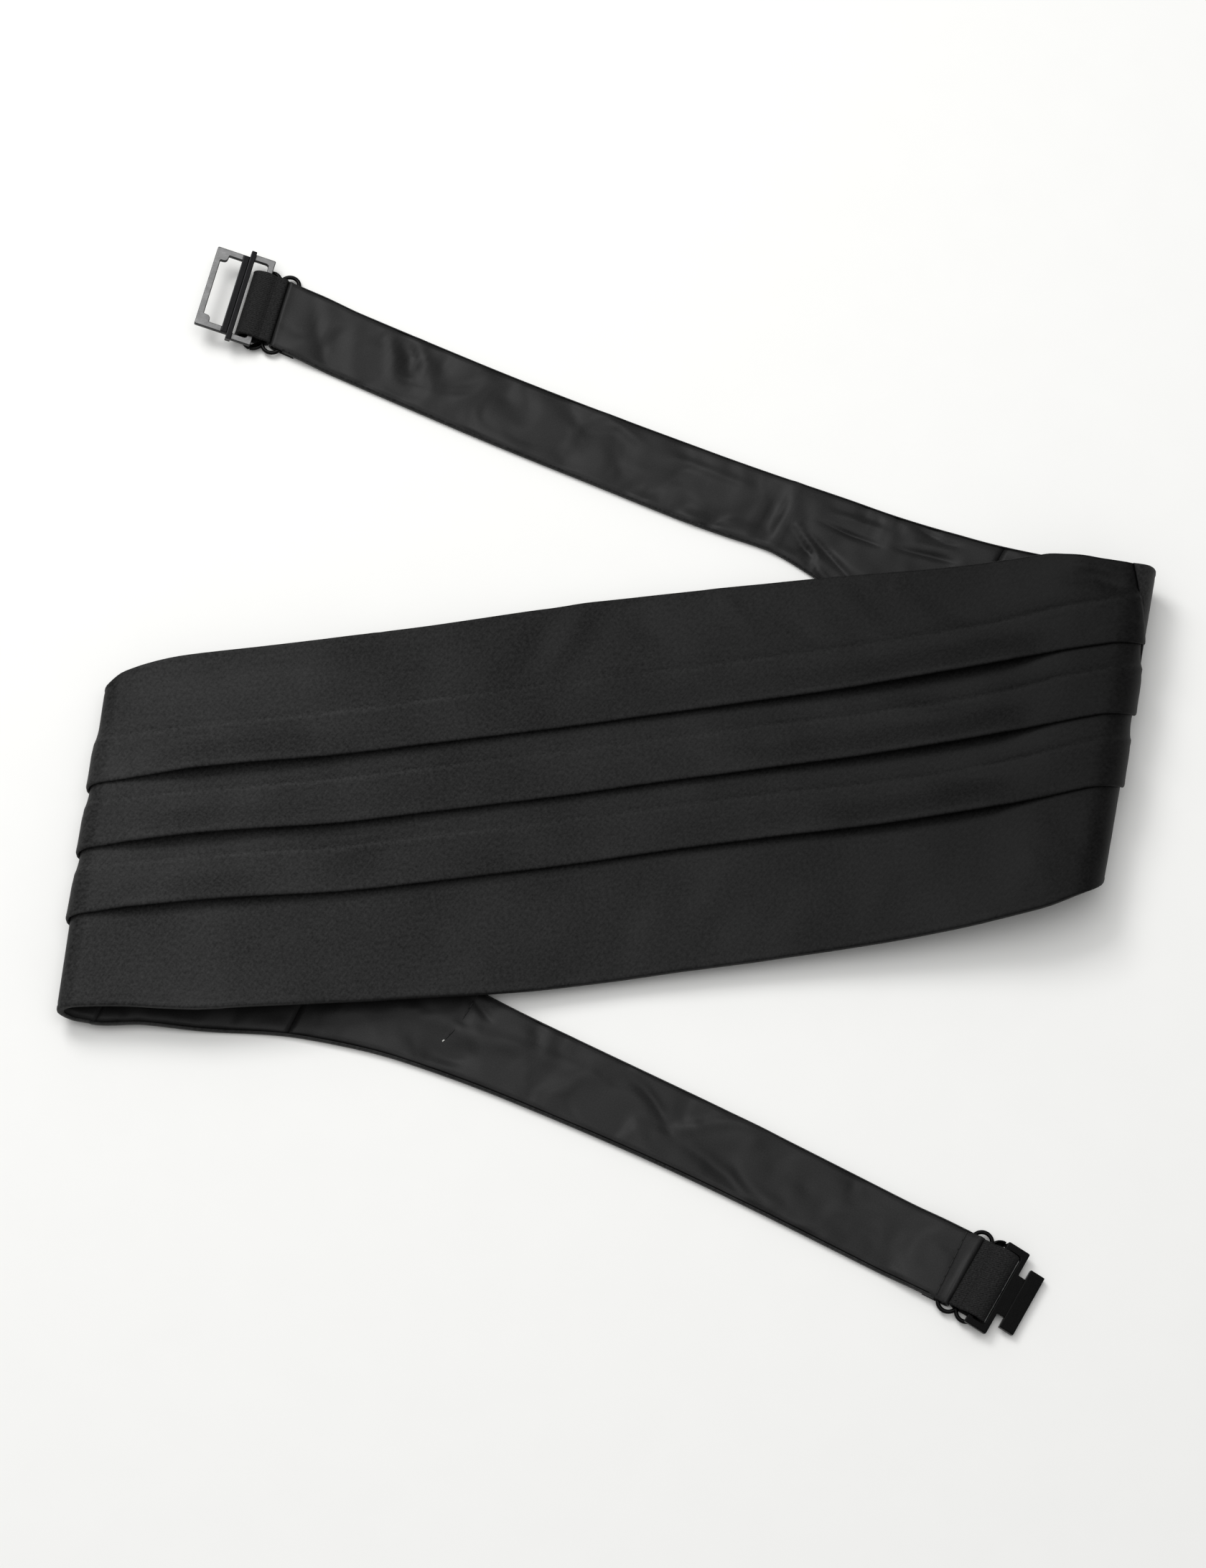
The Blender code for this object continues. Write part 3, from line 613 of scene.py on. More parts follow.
def cloth_sheet(name, places, cut, finish, wall, joined=False):
    """A sheet through a grid of places in mm, with its cut in metres as the UV map."""
    rows, columns = places.shape[:2]
    build = bmesh.new()
    uv = build.loops.layers.uv.new("Cut")
    bmesh.ops.create_grid(build, x_segments=columns - 1, y_segments=rows - 1, size=0.5)
    build.verts.ensure_lookup_table()
    flat = cut.reshape(-1, 2) * MM
    for vert, place in zip(build.verts, places.reshape(-1, 3)):
        vert.co = place * MM
    for face in build.faces:
        for loop in face.loops:
            loop[uv].uv = flat[loop.vert.index]
    if joined:
        bmesh.ops.remove_doubles(build, verts=build.verts, dist=1e-7)
    obj = new_object(name, build, finish)
    thicken = obj.modifiers.new("Cloth thickness", "SOLIDIFY")
    thicken.thickness = wall
    thicken.offset = 0.0
    return obj


def state_sheet(obj, slot, node):
    """Settles a sheet."""
    settle(obj, slot, node)


def cut_places(along, across, lift):
    """The cut of each row of a grid: along, and the length of cloth from its middle column."""
    steps = np.hypot(np.diff(across, axis=1), np.diff(lift, axis=1))
    length = np.concatenate((np.zeros((len(across), 1)), np.cumsum(steps, axis=1)), axis=1)
    length -= length[:, length.shape[1] // 2][:, None]
    return np.stack((along, length), axis=-1)


def spaced(marks, steps):
    """Rows from the first mark to the last, about one step apart in each stretch between marks."""
    rows = []
    for start, stop, step in zip(marks, marks[1:], steps):
        rows += list(np.linspace(start, stop, max(2, 1 + round((stop - start) / step))))[:-1]
    return rows + [marks[-1]]


def roll(edge):
    """Cloth rolled over its edge towards the lining, from its raw end inwards: across, lift."""
    centre = edge - 0.5
    places = [(centre - 0.1, -SHEET)]
    for angle in np.radians(np.linspace(-90.0, 90.0, 10)):
        places.append((centre + 0.25 * math.cos(angle), SHEET * math.sin(angle)))
    return places + [(centre - 0.7, SHEET + 0.06), (centre - 1.3, SHEET - 0.08)]


def lower_roll(edge):
    """The same at the lower edge, from the inside outwards."""
    return [(-across, lift) for across, lift in reversed(roll(edge))]


def front_row(along):
    """The pleated front from its upper edge to its lower edge, as across and lift."""
    upper, lower, pitch = (float(follow(FRONT_CUT, column, along)) for column in (1, 2, 3))
    gaps = [float(follow(LIP_GAPS, column, along)) for column in (1, 2, 3)]
    print_through = float(follow(PRINT_THROUGH, 1, along))
    row = roll(upper)
    start = row[-1][0]
    for index, gap in enumerate(gaps):
        lip = MIDDLE_LIP + (1 - index) * pitch + OUTER
        crest = 2 * PAIR + gap
        for place in np.linspace(start - 1.2, lip + 0.9, 27 if index else 42):
            above = place - lip
            height = PLEAT_HEIGHT * ramp((RISE_FROM - above) / RISE_OVER)
            height += (crest - PLEAT_HEIGHT) * ramp((LIP_OPENS - above) / LIP_OPENS)
            height += LIP_BEAD * ramp((LIP_EDGE - above) / LIP_EDGE)
            row.append((place, SHEET + height + print_through * bell(above - FOLD_PRINT, 0.9)))
        top = row[-1][1]
        for angle in np.radians(np.linspace(60.0, -90.0, 6)):
            turned = PAIR / 2 * (math.sin(angle) - 1)
            row.append((lip + LIP_ROUND * (1 - math.cos(angle)), top + turned))
        fold = lip + PLEAT_DEPTH
        middle = top - PAIR
        row.append((lip + 3.0, middle + (PAIR - (middle - SHEET)) * 0.35))
        row.append((fold - 0.5, SHEET + PAIR))
        for angle in np.radians((45.0, 0.0, -45.0)):
            row.append((fold + 0.3 * math.cos(angle), SHEET + PAIR / 2 * (1 + math.sin(angle))))
        row += [(fold - 0.5, SHEET), (lip + 3.0, SHEET)]
        start = lip + 1.6
    edge = lower_roll(lower)
    row += [(place, SHEET) for place in np.linspace(start - 1.2, edge[0][0], 30)[:-1]]
    return row + edge


def painted_ridge_highlights(along, across):
    """How strong the painted highlight is at each place of the front, over the inner folds of the pleats.
    """
    pitch = follow(FRONT_CUT, 3, along)
    above = [across - (MIDDLE_LIP + index * pitch + OUTER) for index in (1, 0, -1)]
    total = sum(bell(place - FOLD_PRINT, 1.0) for place in above)
    return total * follow(PRINT_THROUGH, 1, along) / FULL_HIGHLIGHT_PRINT


def front_lean(along):
    """Rows run square to the band at the seams, and along the fold lines between them."""
    from_left = (along - SEAMS[0]) / 25.0
    from_right = (SEAMS[1] - along) / 40.0
    return math.tan(BIAS) * min(1.0, max(0.0, from_left), max(0.0, from_right))


def tail_half(along):
    """Half width of a tail above and below, blended from the front's edge at the seam."""
    past = abs(along) - FRONT_HALF
    seam = follow(FRONT_CUT, 1, along), follow(FRONT_CUT, 2, along)
    plain = float(follow(TAIL_CUT, 1, past))
    blend = 1 - float(ramp(past / 30.0))
    upper, lower = (plain + (float(side) - TAIL_CUT[0][1]) * blend for side in seam)
    return upper, lower - (float(follow(EDGE_PULL, 1, along)) if along > 0 else 0.0)


def end_direction(side):
    """Middle of a strap's end, its heading, and the lean that sets its rows square to its fittings."""
    end = side * (FRONT_HALF + of_side(side, TAILS))
    heading = of_side(side, HEADINGS)
    toward = np.array((math.cos(heading), math.sin(heading), 0.0))
    points = lay(np.array((end, end + 0.5, end)), np.array((0.0, 0.0, 0.5)), np.zeros(3))
    lean = -((points[2] - points[0]) @ toward) / ((points[1] - points[0]) @ toward)
    return points[0], heading, lean


def grid_of(rows, leans):
    """Along, across and lift of a grid from its rows, each row (along, [(across, lift), ...])."""
    across = np.array([[place[0] for place in row] for _, row in rows])
    lift = np.array([[place[1] for place in row] for _, row in rows])
    along = np.array([along for along, _ in rows])[:, None] + np.array(leans)[:, None] * across
    return along, across, lift


def felled(upper, lower, count, dip, over):
    """A row of lining, whose edges dip to the cloth that they are felled to: across, lift."""
    places = np.linspace(upper, -lower, count)
    edges = (1 - ramp((upper - places) / over)) + (1 - ramp((places + lower) / over))
    return list(zip(places, dip * edges - SHEET))


def make_front(finish, wall):
    first, last = SEAMS[0] + SEAM_EASE, SEAMS[1] - SEAM_EASE
    stations = spaced((first, -140.0, 148.0, last), (1.1, 1.9, 1.1))
    rows = [(a, front_row(a)) for a in stations]
    along, across, lift = grid_of(rows, [front_lean(a) for a in stations])
    cut = cut_places(along, across, lift)
    puckers = creased(FRONT_CREASES, along, across)
    for seam in SEAMS:
        puckers -= SEAM_GROOVE[0] * bell(along - seam, SEAM_GROOVE[1])
    obj = cloth_sheet("Pleated_front", lay(along, across, lift + puckers), cut, finish, wall)
    # The painted highlight over the pleats' inner folds, stored for the satin to read.
    mark(obj, "Painted_ridge_highlight", painted_ridge_highlights(along, across))
    state_sheet(obj, "black_satin", "pleated_front")


def make_front_lining(finish, wall):
    beyond = LINING_SEAM_PAST - SEAM_EASE
    first, last = SEAMS[0] - beyond, SEAMS[1] + beyond
    stations = spaced((first, -150.0, 150.0, last), (2.0, 4.0, 2.0))
    rows = []
    for a in stations:
        upper, lower = (float(follow(FRONT_CUT, column, a)) - 0.6 for column in (1, 2))
        rows.append((a, felled(upper, lower, 44, 0.3, 1.5)))
    along, across, lift = grid_of(rows, [front_lean(a) for a in stations])
    cut = cut_places(along, across, lift)
    obj = cloth_sheet("Front_lining", lay(along, across, lift), cut, finish, wall)
    state_sheet(obj, "black_lining", "front_lining")


def seam_of(side):
    """Where a tail's own cloth starts, past the end of the front's solid."""
    return side * of_side(side, SEAMS) - FRONT_HALF


def tail_lean(side, past):
    return end_direction(side)[2] * float(1 - ramp((of_side(side, TAILS) - past) / 40.0))


def tail_stations(start, stop):
    """Rows of a tail's cloth, closer together where it bends."""
    if start < BEND_PAST:
        return spaced((start, BEND_PAST, stop), (1.2, 1.7))
    return spaced((start, stop), (1.7,))


def tail_creases(side, along, across):
    return creased(of_side(side, (LEFT_CREASES, RIGHT_CREASES)), along, across)


def make_tail(side, finish, wall):
    """Outer cloth of a tail. It lies satin side down, so only its rolled edges show from above."""
    length = of_side(side, TAILS)
    stations = tail_stations(seam_of(side) + SEAM_EASE, length + BAR_A - 1.1)
    rows = []
    for past in stations:
        along = side * (FRONT_HALF + past)
        upper, lower = tail_half(along)
        above, below = roll(upper), lower_roll(lower)
        inner = np.linspace(above[-1][0], below[0][0], 42)[1:-1]
        rows.append((along, above + [(place, SHEET) for place in inner] + below))
    along, across, lift = grid_of(rows, [tail_lean(side, past) for past in stations])
    cut = cut_places(along, across, lift)
    raised = np.maximum(tail_creases(side, along, across), 0.0) * 0.6
    word = of_side(side, WORDS)
    obj = cloth_sheet(f"Tail_{word}", lay(along, across, lift - raised), cut, finish, wall)
    state_sheet(obj, "black_satin", f"tail_{word}")


def turned_rows(side, columns):
    """Rows of a strap's end, where the lining turns down round the slider's first bar and back."""
    length = of_side(side, TAILS)
    centre = ON_TABLE + STEP - BAR_HEIGHT
    rows = []
    for angle in np.radians(np.linspace(-90.0, 90.0, 15)):
        past = length + STRAP_TURN_FROM + STRAP_TURN * math.cos(angle)
        rows.append((past, [(a, centre + STRAP_TURN * math.sin(angle)) for a, _ in columns]))
    for back in np.linspace(FLAP / 2 + 1.0, FLAP, 4):
        rows.append((length - back, [(a, OUTER + STEP) for a, _ in columns]))
    return rows


def lining_row(side, past):
    """A row of a tail's lining, set in from the outer cloth's edges until the strap's end."""
    at_end = float(ramp((past - of_side(side, TAILS) + 7.0) / 2.0))
    upper, lower = tail_half(side * (FRONT_HALF + past))
    upper -= UPPER_INSET * (1 - at_end) + END_INSET * at_end
    lower -= of_side(side, LOWER_INSETS) * (1 - at_end) + END_INSET * at_end
    return felled(upper, lower, 56, 0.35, 1.4)


def make_tail_lining(side, kind, first, last, finish, wall):
    """The lining of a tail, or the facing next to its seam."""
    turned = kind == "lining"
    rows = [(past, lining_row(side, past)) for past in tail_stations(first, last)]
    if turned:
        rows += turned_rows(side, rows[-1][1])
    leans = [tail_lean(side, past) for past, _ in rows]
    along, across, lift = grid_of([(side * (FRONT_HALF + past), row) for past, row in rows], leans)
    cut = cut_places(along, across, lift)
    middle = along.shape[1] // 2
    step = np.abs(np.diff(along[:, 0]))
    if turned:
        step = np.linalg.norm(np.diff(lay(along, across, lift)[:, middle], axis=0), axis=1)
    reach = along[0, 0] + side * np.concatenate(([0.0], np.cumsum(step)))
    cut[..., 0] = reach[:, None] + (along - along[:, middle][:, None])
    past = np.abs(along) - FRONT_HALF
    raised = np.clip(tail_creases(side, along, across), -1.0, 3.0)
    raised -= FACING_GROOVE[0] * bell(past - of_side(side, FACINGS), FACING_GROOVE[1])
    raised = np.where(lift < 0.0, raised, 0.0) * ramp(of_side(side, TAILS) - past - 1.4)
    word = of_side(side, WORDS)
    obj = cloth_sheet(f"Tail_{word}_{kind}", lay(along, across, lift - raised), cut, finish, wall)
    state_sheet(obj, "black_lining", f"tail_{kind}_{word}")


def fitting_matrix(side):
    """From a strap end's own frame, x outward and z up, to the room."""
    middle, heading, _ = end_direction(side)
    spot = Matrix.Translation((middle[0] * MM, middle[1] * MM, 0.0))
    return spot @ Matrix.Rotation(heading, 4, "Z")


def resampled(path, step):
    """A path in mm with its points evenly spaced, and how far along it each of them lies."""
    path = np.array(path, dtype=float)
    arc = np.concatenate(([0.0], np.cumsum(np.linalg.norm(np.diff(path, axis=0), axis=1))))
    places = np.linspace(0.0, arc[-1], max(4, round(arc[-1] / step)) + 1)
    return np.stack([np.interp(places, arc, column) for column in path.T], axis=-1), places


def elastic_path(far_end):
    """Side view of the elastic loop, round the slider's middle bar and the buckle's bar."""
    near_turn = WIRE / 2 + 0.3 + WALL / 2
    far_turn = (ELASTIC_TOP - WALL / 2) / 2
    far = far_end - far_turn - WALL / 2
    path = []
    for angle in np.radians(np.linspace(180.0, 270.0, 14)):
        path.append((BAR_B + near_turn * math.cos(angle), BAR_HEIGHT + near_turn * math.sin(angle)))
    for angle in np.radians(np.linspace(-90.0, 90.0, 32)):
        height = ELASTIC_TOP - far_turn + far_turn * math.sin(angle)
        path.append((far + far_turn * math.cos(angle), height))
    return path + [(BAR_B + out, ELASTIC_TOP - down) for out, down in ELASTIC_BACK] + [path[0]]


def make_elastic(side, finish, wall, rib):
    """A loop of ribbed webbing, one rib every few threads, with a softly waved selvedge."""
    path, arc = resampled(elastic_path(of_side(side, ELASTIC_ENDS)), 0.3)
    widths = np.linspace(-ELASTIC_HALF, ELASTIC_HALF, 75)
    x, z = (np.repeat(path[:, i : i + 1], len(widths), axis=1) for i in (0, 1))
    y = np.repeat(widths[None, :], len(path), axis=0) + of_side(side, ELASTIC_ASIDE)
    edge = np.clip((np.abs(widths) - (ELASTIC_HALF - SELVEDGE)) / SELVEDGE, 0.0, 1.0)[None, :]
    tangent = np.gradient(path, axis=0)
    tangent[0] = tangent[-1] = path[1] - path[-2]
    tangent /= np.linalg.norm(tangent, axis=1)[:, None]
    pitch = arc[-1] / round(arc[-1] / (rib / MM))
    raised = 0.06 * np.cos(2 * np.pi * arc / pitch)[:, None] * (1 - edge) - 0.18 * edge**2
    x -= tangent[:, 1:] * raised
    z += tangent[:, :1] * raised
    local = np.stack((x * MM, y * MM, z * MM, np.ones_like(x)), axis=-1)
    places = (local @ np.array(fitting_matrix(side)).T)[..., :3] / MM
    cut = np.stack((np.repeat(arc[:, None], len(widths), axis=1), y), axis=-1)
    word = of_side(side, WORDS)
    obj = cloth_sheet(f"Elastic_{word}", places, cut, finish, wall, joined=True)
    settle(obj, "black_elastic", f"elastic_{word}")


def tube(build, path, radius, sides=12, closed=False):
    """A round wire along a path in mm, added to a bmesh as a wrapped grid."""
    path = np.array(path, dtype=float)
    if closed:
        ahead, behind = np.roll(path, -1, axis=0), np.roll(path, 1, axis=0)
    else:
        ahead, behind = np.vstack((path[1:], path[-1])), np.vstack((path[0], path[:-1]))
    tangent = ahead - behind
    tangent /= np.linalg.norm(tangent, axis=1)[:, None]
    side = np.cross(tangent, (0.0, 0.0, 1.0))
    side /= np.linalg.norm(side, axis=1)[:, None]
    rise = np.cross(side, tangent)
    turn = np.linspace(0.0, 2 * math.pi, sides + 1)[None, :, None]
    places = path[:, None] + radius * (side[:, None] * np.cos(turn) + rise[:, None] * np.sin(turn))
    if closed:
        places = np.concatenate((places, places[:1]))
    rows, columns = places.shape[:2]
    made = bmesh.ops.create_grid(build, x_segments=columns - 1, y_segments=rows - 1, size=0.5)
    verts = sorted(made["verts"], key=lambda vert: vert.index)
    for vert, place in zip(verts, places.reshape(-1, 3)):
        vert.co = place * MM
    bmesh.ops.remove_doubles(build, verts=verts, dist=1e-7)


def close_tubes(build, sides):
    """Caps the tubes' ends and turns all faces outwards."""
    bmesh.ops.holes_fill(build, edges=[edge for edge in build.edges if edge.is_boundary], sides=sides)
    bmesh.ops.recalc_face_normals(build, faces=build.faces)


def slider_lobe(middle, half_turn):
    """One lobe of a slider in plan: two round ends, joined across the strap by straight bars."""
    radius = BAR_PITCH / 2
    straight = SLIDER_HALF - radius - WIRE / 2
    path = []
    for way, first, last in ((1, half_turn, 0.0), (-1, 0.0, -half_turn)):
        for angle in np.radians(np.linspace(first, last, 22)):
            aside = way * straight + radius * math.sin(angle)
            path.append((middle + radius * math.cos(angle), aside, BAR_HEIGHT))
    return path


def make_slider(side, finish):
    """A figure of eight in round wire, turned on itself between the two lobes."""
    build = bmesh.new()
    first = BAR_A + BAR_PITCH / 2
    ring = slider_lobe(first, 180.0)
    tube(build, resampled(ring + [ring[0]], 0.5)[0][:-1], WIRE / 2, closed=True)
    tube(build, resampled(slider_lobe(first + BAR_PITCH, 172.0), 0.5)[0], WIRE / 2)
    close_tubes(build, 20)
    bmesh.ops.transform(build, matrix=fitting_matrix(side), verts=build.verts)
    word = of_side(side, WORDS)
    settle(new_object(f"Slider_{word}", build, finish), "black_enamel", f"slider_{word}")


def stitches(name, line, thread, length, gap, finish):
    """Short stitches along a line on a tail's lining, each risen in its middle and sunk at its ends."""
    marks, arc = resampled(line, 0.2)
    count = max(1, round((arc[-1] + gap) / (length / MM + gap)))
    build = bmesh.new()
    for index in range(count):
        first, last = (index * arc[-1] + gap / 2) / count, ((index + 1) * arc[-1] - gap / 2) / count
        t = np.linspace(0.0, 1.0, 7)
        along, across = (np.interp(first + (last - first) * t, arc, marks[:, i]) for i in (0, 1))
        raised = tail_creases(line[0][0], along, across)
        rise = 0.05 + 0.16 * np.sin(np.pi * t)
        tube(build, lay(along, across, -LINING_TOP - raised - rise), thread / MM / 2, sides=8)
    close_tubes(build, 8)
    settle(new_object(name, build, finish), "black_lining")


# Materials


def material(name):
    made = bpy.data.materials.new(name)
    made.use_nodes = True
    return made, made.node_tree, made.node_tree.nodes["Principled BSDF"]


def fill(tree, node, links):
    """Fills a node's inputs: a socket, or a node's first output, is joined, and a value is set."""
    for key, value in links.items():
        if isinstance(value, bpy.types.Node):
            value = value.outputs[0]
        if isinstance(value, bpy.types.NodeSocket):
            tree.links.new(value, node.inputs[key])
        else:
            node.inputs[key].default_value = value
    return node


def add_node(tree, kind, links=None, stops=(), **settings):
    """Adds a shader node, sets it up with its colour stops, if any, and fills its inputs."""
    node = tree.nodes.new("ShaderNode" + kind)
    for key, value in settings.items():
        setattr(node, key, value)
    for index, (position, colour) in enumerate(stops):
        node.color_ramp.elements[index].position = position
        node.color_ramp.elements[index].color = colour
    return fill(tree, node, links or {})


def tones(colour, darker, lighter, spread=0.25):
    """Colour stops from a darker to a lighter tone, as far below the middle as above it."""
    low = [c * darker for c in colour[:3]] + [1.0]
    high = [c * lighter for c in colour[:3]] + [1.0]
    return (0.5 - spread, low), (0.5 + spread, high)


def cut_in_mm(tree):
    """The piece's own cut, in millimetres of cloth."""
    uv = add_node(tree, "UVMap", uv_map="Cut")
    return add_node(tree, "Mapping", {"Vector": uv, "Scale": (1000.0, 1000.0, 1.0)})


def polyester_satin(name, colour, weave):
    """Duchess satin in polyester: a dense warp face that gives a soft sheen, with slubs and a faint
    diagonal from the binding points. The diagonal is drawn coarser than its 0.2 mm so that it shows.
    The front's colour is painted with shade: lighter at its left and darker the further it runs to the
    right, and painted highlights run in lines over the pleats' inner folds. Past the right seam, on the
    tail, the painted shade is lifted again."""
    made, tree, shader = material(name)
    cut = cut_in_mm(tree)
    grain = add_node(tree, "TexNoise", {"Vector": cut, "Scale": 0.9, "Detail": 4.0, "Roughness": 0.8})
    cloud = add_node(tree, "TexNoise", {"Vector": cut, "Scale": 0.035, "Detail": 2.0})
    scale = 2.0 / (weave / MM * 6.28)
    twill = add_node(
        tree, "TexWave",
        {"Vector": cut, "Scale": scale, "Distortion": 1.2, "Detail": 1.0, "Detail Scale": 1.5},
        wave_type="BANDS", bands_direction="DIAGONAL",
    )
    mixed = add_node(tree, "Math", {0: grain, 1: 0.72}, operation="MULTIPLY")
    mixed = add_node(tree, "Math", {0: twill.outputs["Fac"], 1: 0.03, 2: mixed}, operation="MULTIPLY_ADD")
    mixed = add_node(tree, "Math", {0: cloud, 1: 0.25, 2: mixed}, operation="MULTIPLY_ADD")
    speckled = add_node(tree, "ValToRGB", {"Fac": mixed}, stops=tones(colour, 0.35, 1.65, 0.13))
    # Painted shade: the colour is scaled from lighter at the front's left to darker towards its right,
    # and lifted again on the right tail past its seam.
    along = add_node(tree, "SeparateXYZ", {"Vector": cut})
    front = {"Value": along, "From Min": -165.0, "From Max": 165.0, "To Min": 1.12, "To Max": 0.26}
    tail = {"Value": along, "From Min": 175.2, "From Max": 176.2, "To Min": 0.0, "To Max": 0.7}
    front, tail = (add_node(tree, "MapRange", links) for links in (front, tail))
    sheen = add_node(tree, "Math", {0: front, 1: tail}, operation="ADD")
    # Painted highlight: lighter lines where the pleats' inner folds print through.
    ridge_highlight = add_node(tree, "Attribute", attribute_name="Painted_ridge_highlight").outputs["Fac"]
    ridge_highlight = add_node(tree, "Math", {0: ridge_highlight, 1: 0.4, 2: 1.0}, operation="MULTIPLY_ADD")
    sheen = add_node(tree, "Math", {0: sheen, 1: ridge_highlight}, operation="MULTIPLY")
    fill(tree, shader, {
        "Base Color": add_node(tree, "VectorMath", {0: speckled, "Scale": sheen}, operation="SCALE"),
        "Roughness": add_node(tree, "MapRange", {"Value": grain, "To Min": 0.40, "To Max": 0.60}),
        "Specular IOR Level": 0.07,
        "Normal": add_node(tree, "Bump", {"Height": mixed, "Strength": 0.35, "Distance": 0.00012}),
    })
    return made


def acetate_lining(name, colour):
    """Plain-weave acetate lining: thinner and smoother than the satin, so it shows every soft dent
    and has a finer grain, a paler and cooler black with a low even sheen."""
    made, tree, shader = material(name)
    cut = cut_in_mm(tree)
    grain = add_node(tree, "TexNoise", {"Vector": cut, "Scale": 2.2, "Detail": 2.0, "Roughness": 0.6})
    dents = add_node(
        tree, "TexNoise",
        {"Vector": cut, "Scale": 0.07, "Detail": 1.2, "Roughness": 0.4, "Distortion": 0.5},
    )
    mixed = add_node(tree, "Math", {0: grain, 1: 0.45}, operation="MULTIPLY")
    mixed = add_node(tree, "Math", {0: dents, 1: 0.55, 2: mixed}, operation="MULTIPLY_ADD")
    soft = add_node(tree, "Bump", {"Height": dents, "Strength": 0.8, "Distance": 0.0026})
    fine = {"Height": grain, "Strength": 0.2, "Distance": 0.00008, "Normal": soft}
    fill(tree, shader, {
        "Base Color": add_node(tree, "ValToRGB", {"Fac": mixed}, stops=tones(colour, 0.65, 1.4, 0.14)),
        "Roughness": add_node(tree, "MapRange", {"Value": dents, "To Min": 0.36, "To Max": 0.52}),
        "Specular IOR Level": 0.13,
        "Normal": add_node(tree, "Bump", fine),
    })
    return made


def woven_elastic(name, colour):
    """Woven elastic webbing: matt black yarn over rubber, ribbed, with a twill line on the ribs."""
    made, tree, shader = material(name)
    cut = cut_in_mm(tree)
    yarn = add_node(tree, "TexNoise", {"Vector": cut, "Scale": 1.9, "Detail": 3.0, "Roughness": 0.7})
    twill = add_node(
        tree, "TexWave", {"Vector": cut, "Scale": 0.75, "Distortion": 1.5, "Detail": 2.0},
        wave_type="BANDS", bands_direction="DIAGONAL",
    )
    mixed = add_node(tree, "Math", {0: twill.outputs["Fac"], 1: 0.14}, operation="MULTIPLY")
    mixed = add_node(tree, "Math", {0: yarn, 1: 0.86, 2: mixed}, operation="MULTIPLY_ADD")
    fill(tree, shader, {
        "Base Color": add_node(tree, "ValToRGB", {"Fac": mixed}, stops=tones(colour, 0.3, 2.0, 0.16)),
        "Roughness": 0.8,
        "Specular IOR Level": 0.12,
        "Normal": add_node(tree, "Bump", {"Height": mixed, "Strength": 0.6, "Distance": 0.00025}),
    })
    return made


def stoved_enamel(name, colour):
    """Stoved black enamel on zinc and wire: a thin glossy coat that is slightly uneven, worn a
    little paler and duller where it is handled."""
    made, tree, shader = material(name)
    place = add_node(tree, "TexCoord").outputs["Object"]
    uneven = add_node(tree, "TexNoise", {"Vector": place, "Scale": 450.0, "Detail": 3.0})
    wear = add_node(tree, "TexNoise", {"Vector": place, "Scale": 1400.0, "Detail": 4.0, "Roughness": 0.7})
    fill(tree, shader, {
        "Base Color": add_node(tree, "ValToRGB", {"Fac": wear}, stops=tones(colour, 0.7, 1.8)),
        "Roughness": add_node(tree, "MapRange", {"Value": wear, "To Min": 0.16, "To Max": 0.4}),
        "Specular IOR Level": 0.06,
        "Coat Weight": 0.04,
        "Coat Roughness": 0.12,
        "Normal": add_node(tree, "Bump", {"Height": uneven, "Strength": 0.3, "Distance": 0.0001}),
    })
    return made


def receiver_frame():
    """Place of the receiver's bar, and its outward, sideways and face directions in the room."""
    bar = Matrix.Translation((RECEIVER_AXIS * MM, RECEIVER_ASIDE * MM, BUCKLE_HEIGHT * MM))
    return fitting_matrix(1) @ bar @ Matrix.Rotation(RECEIVER_TILT, 4, "Y")


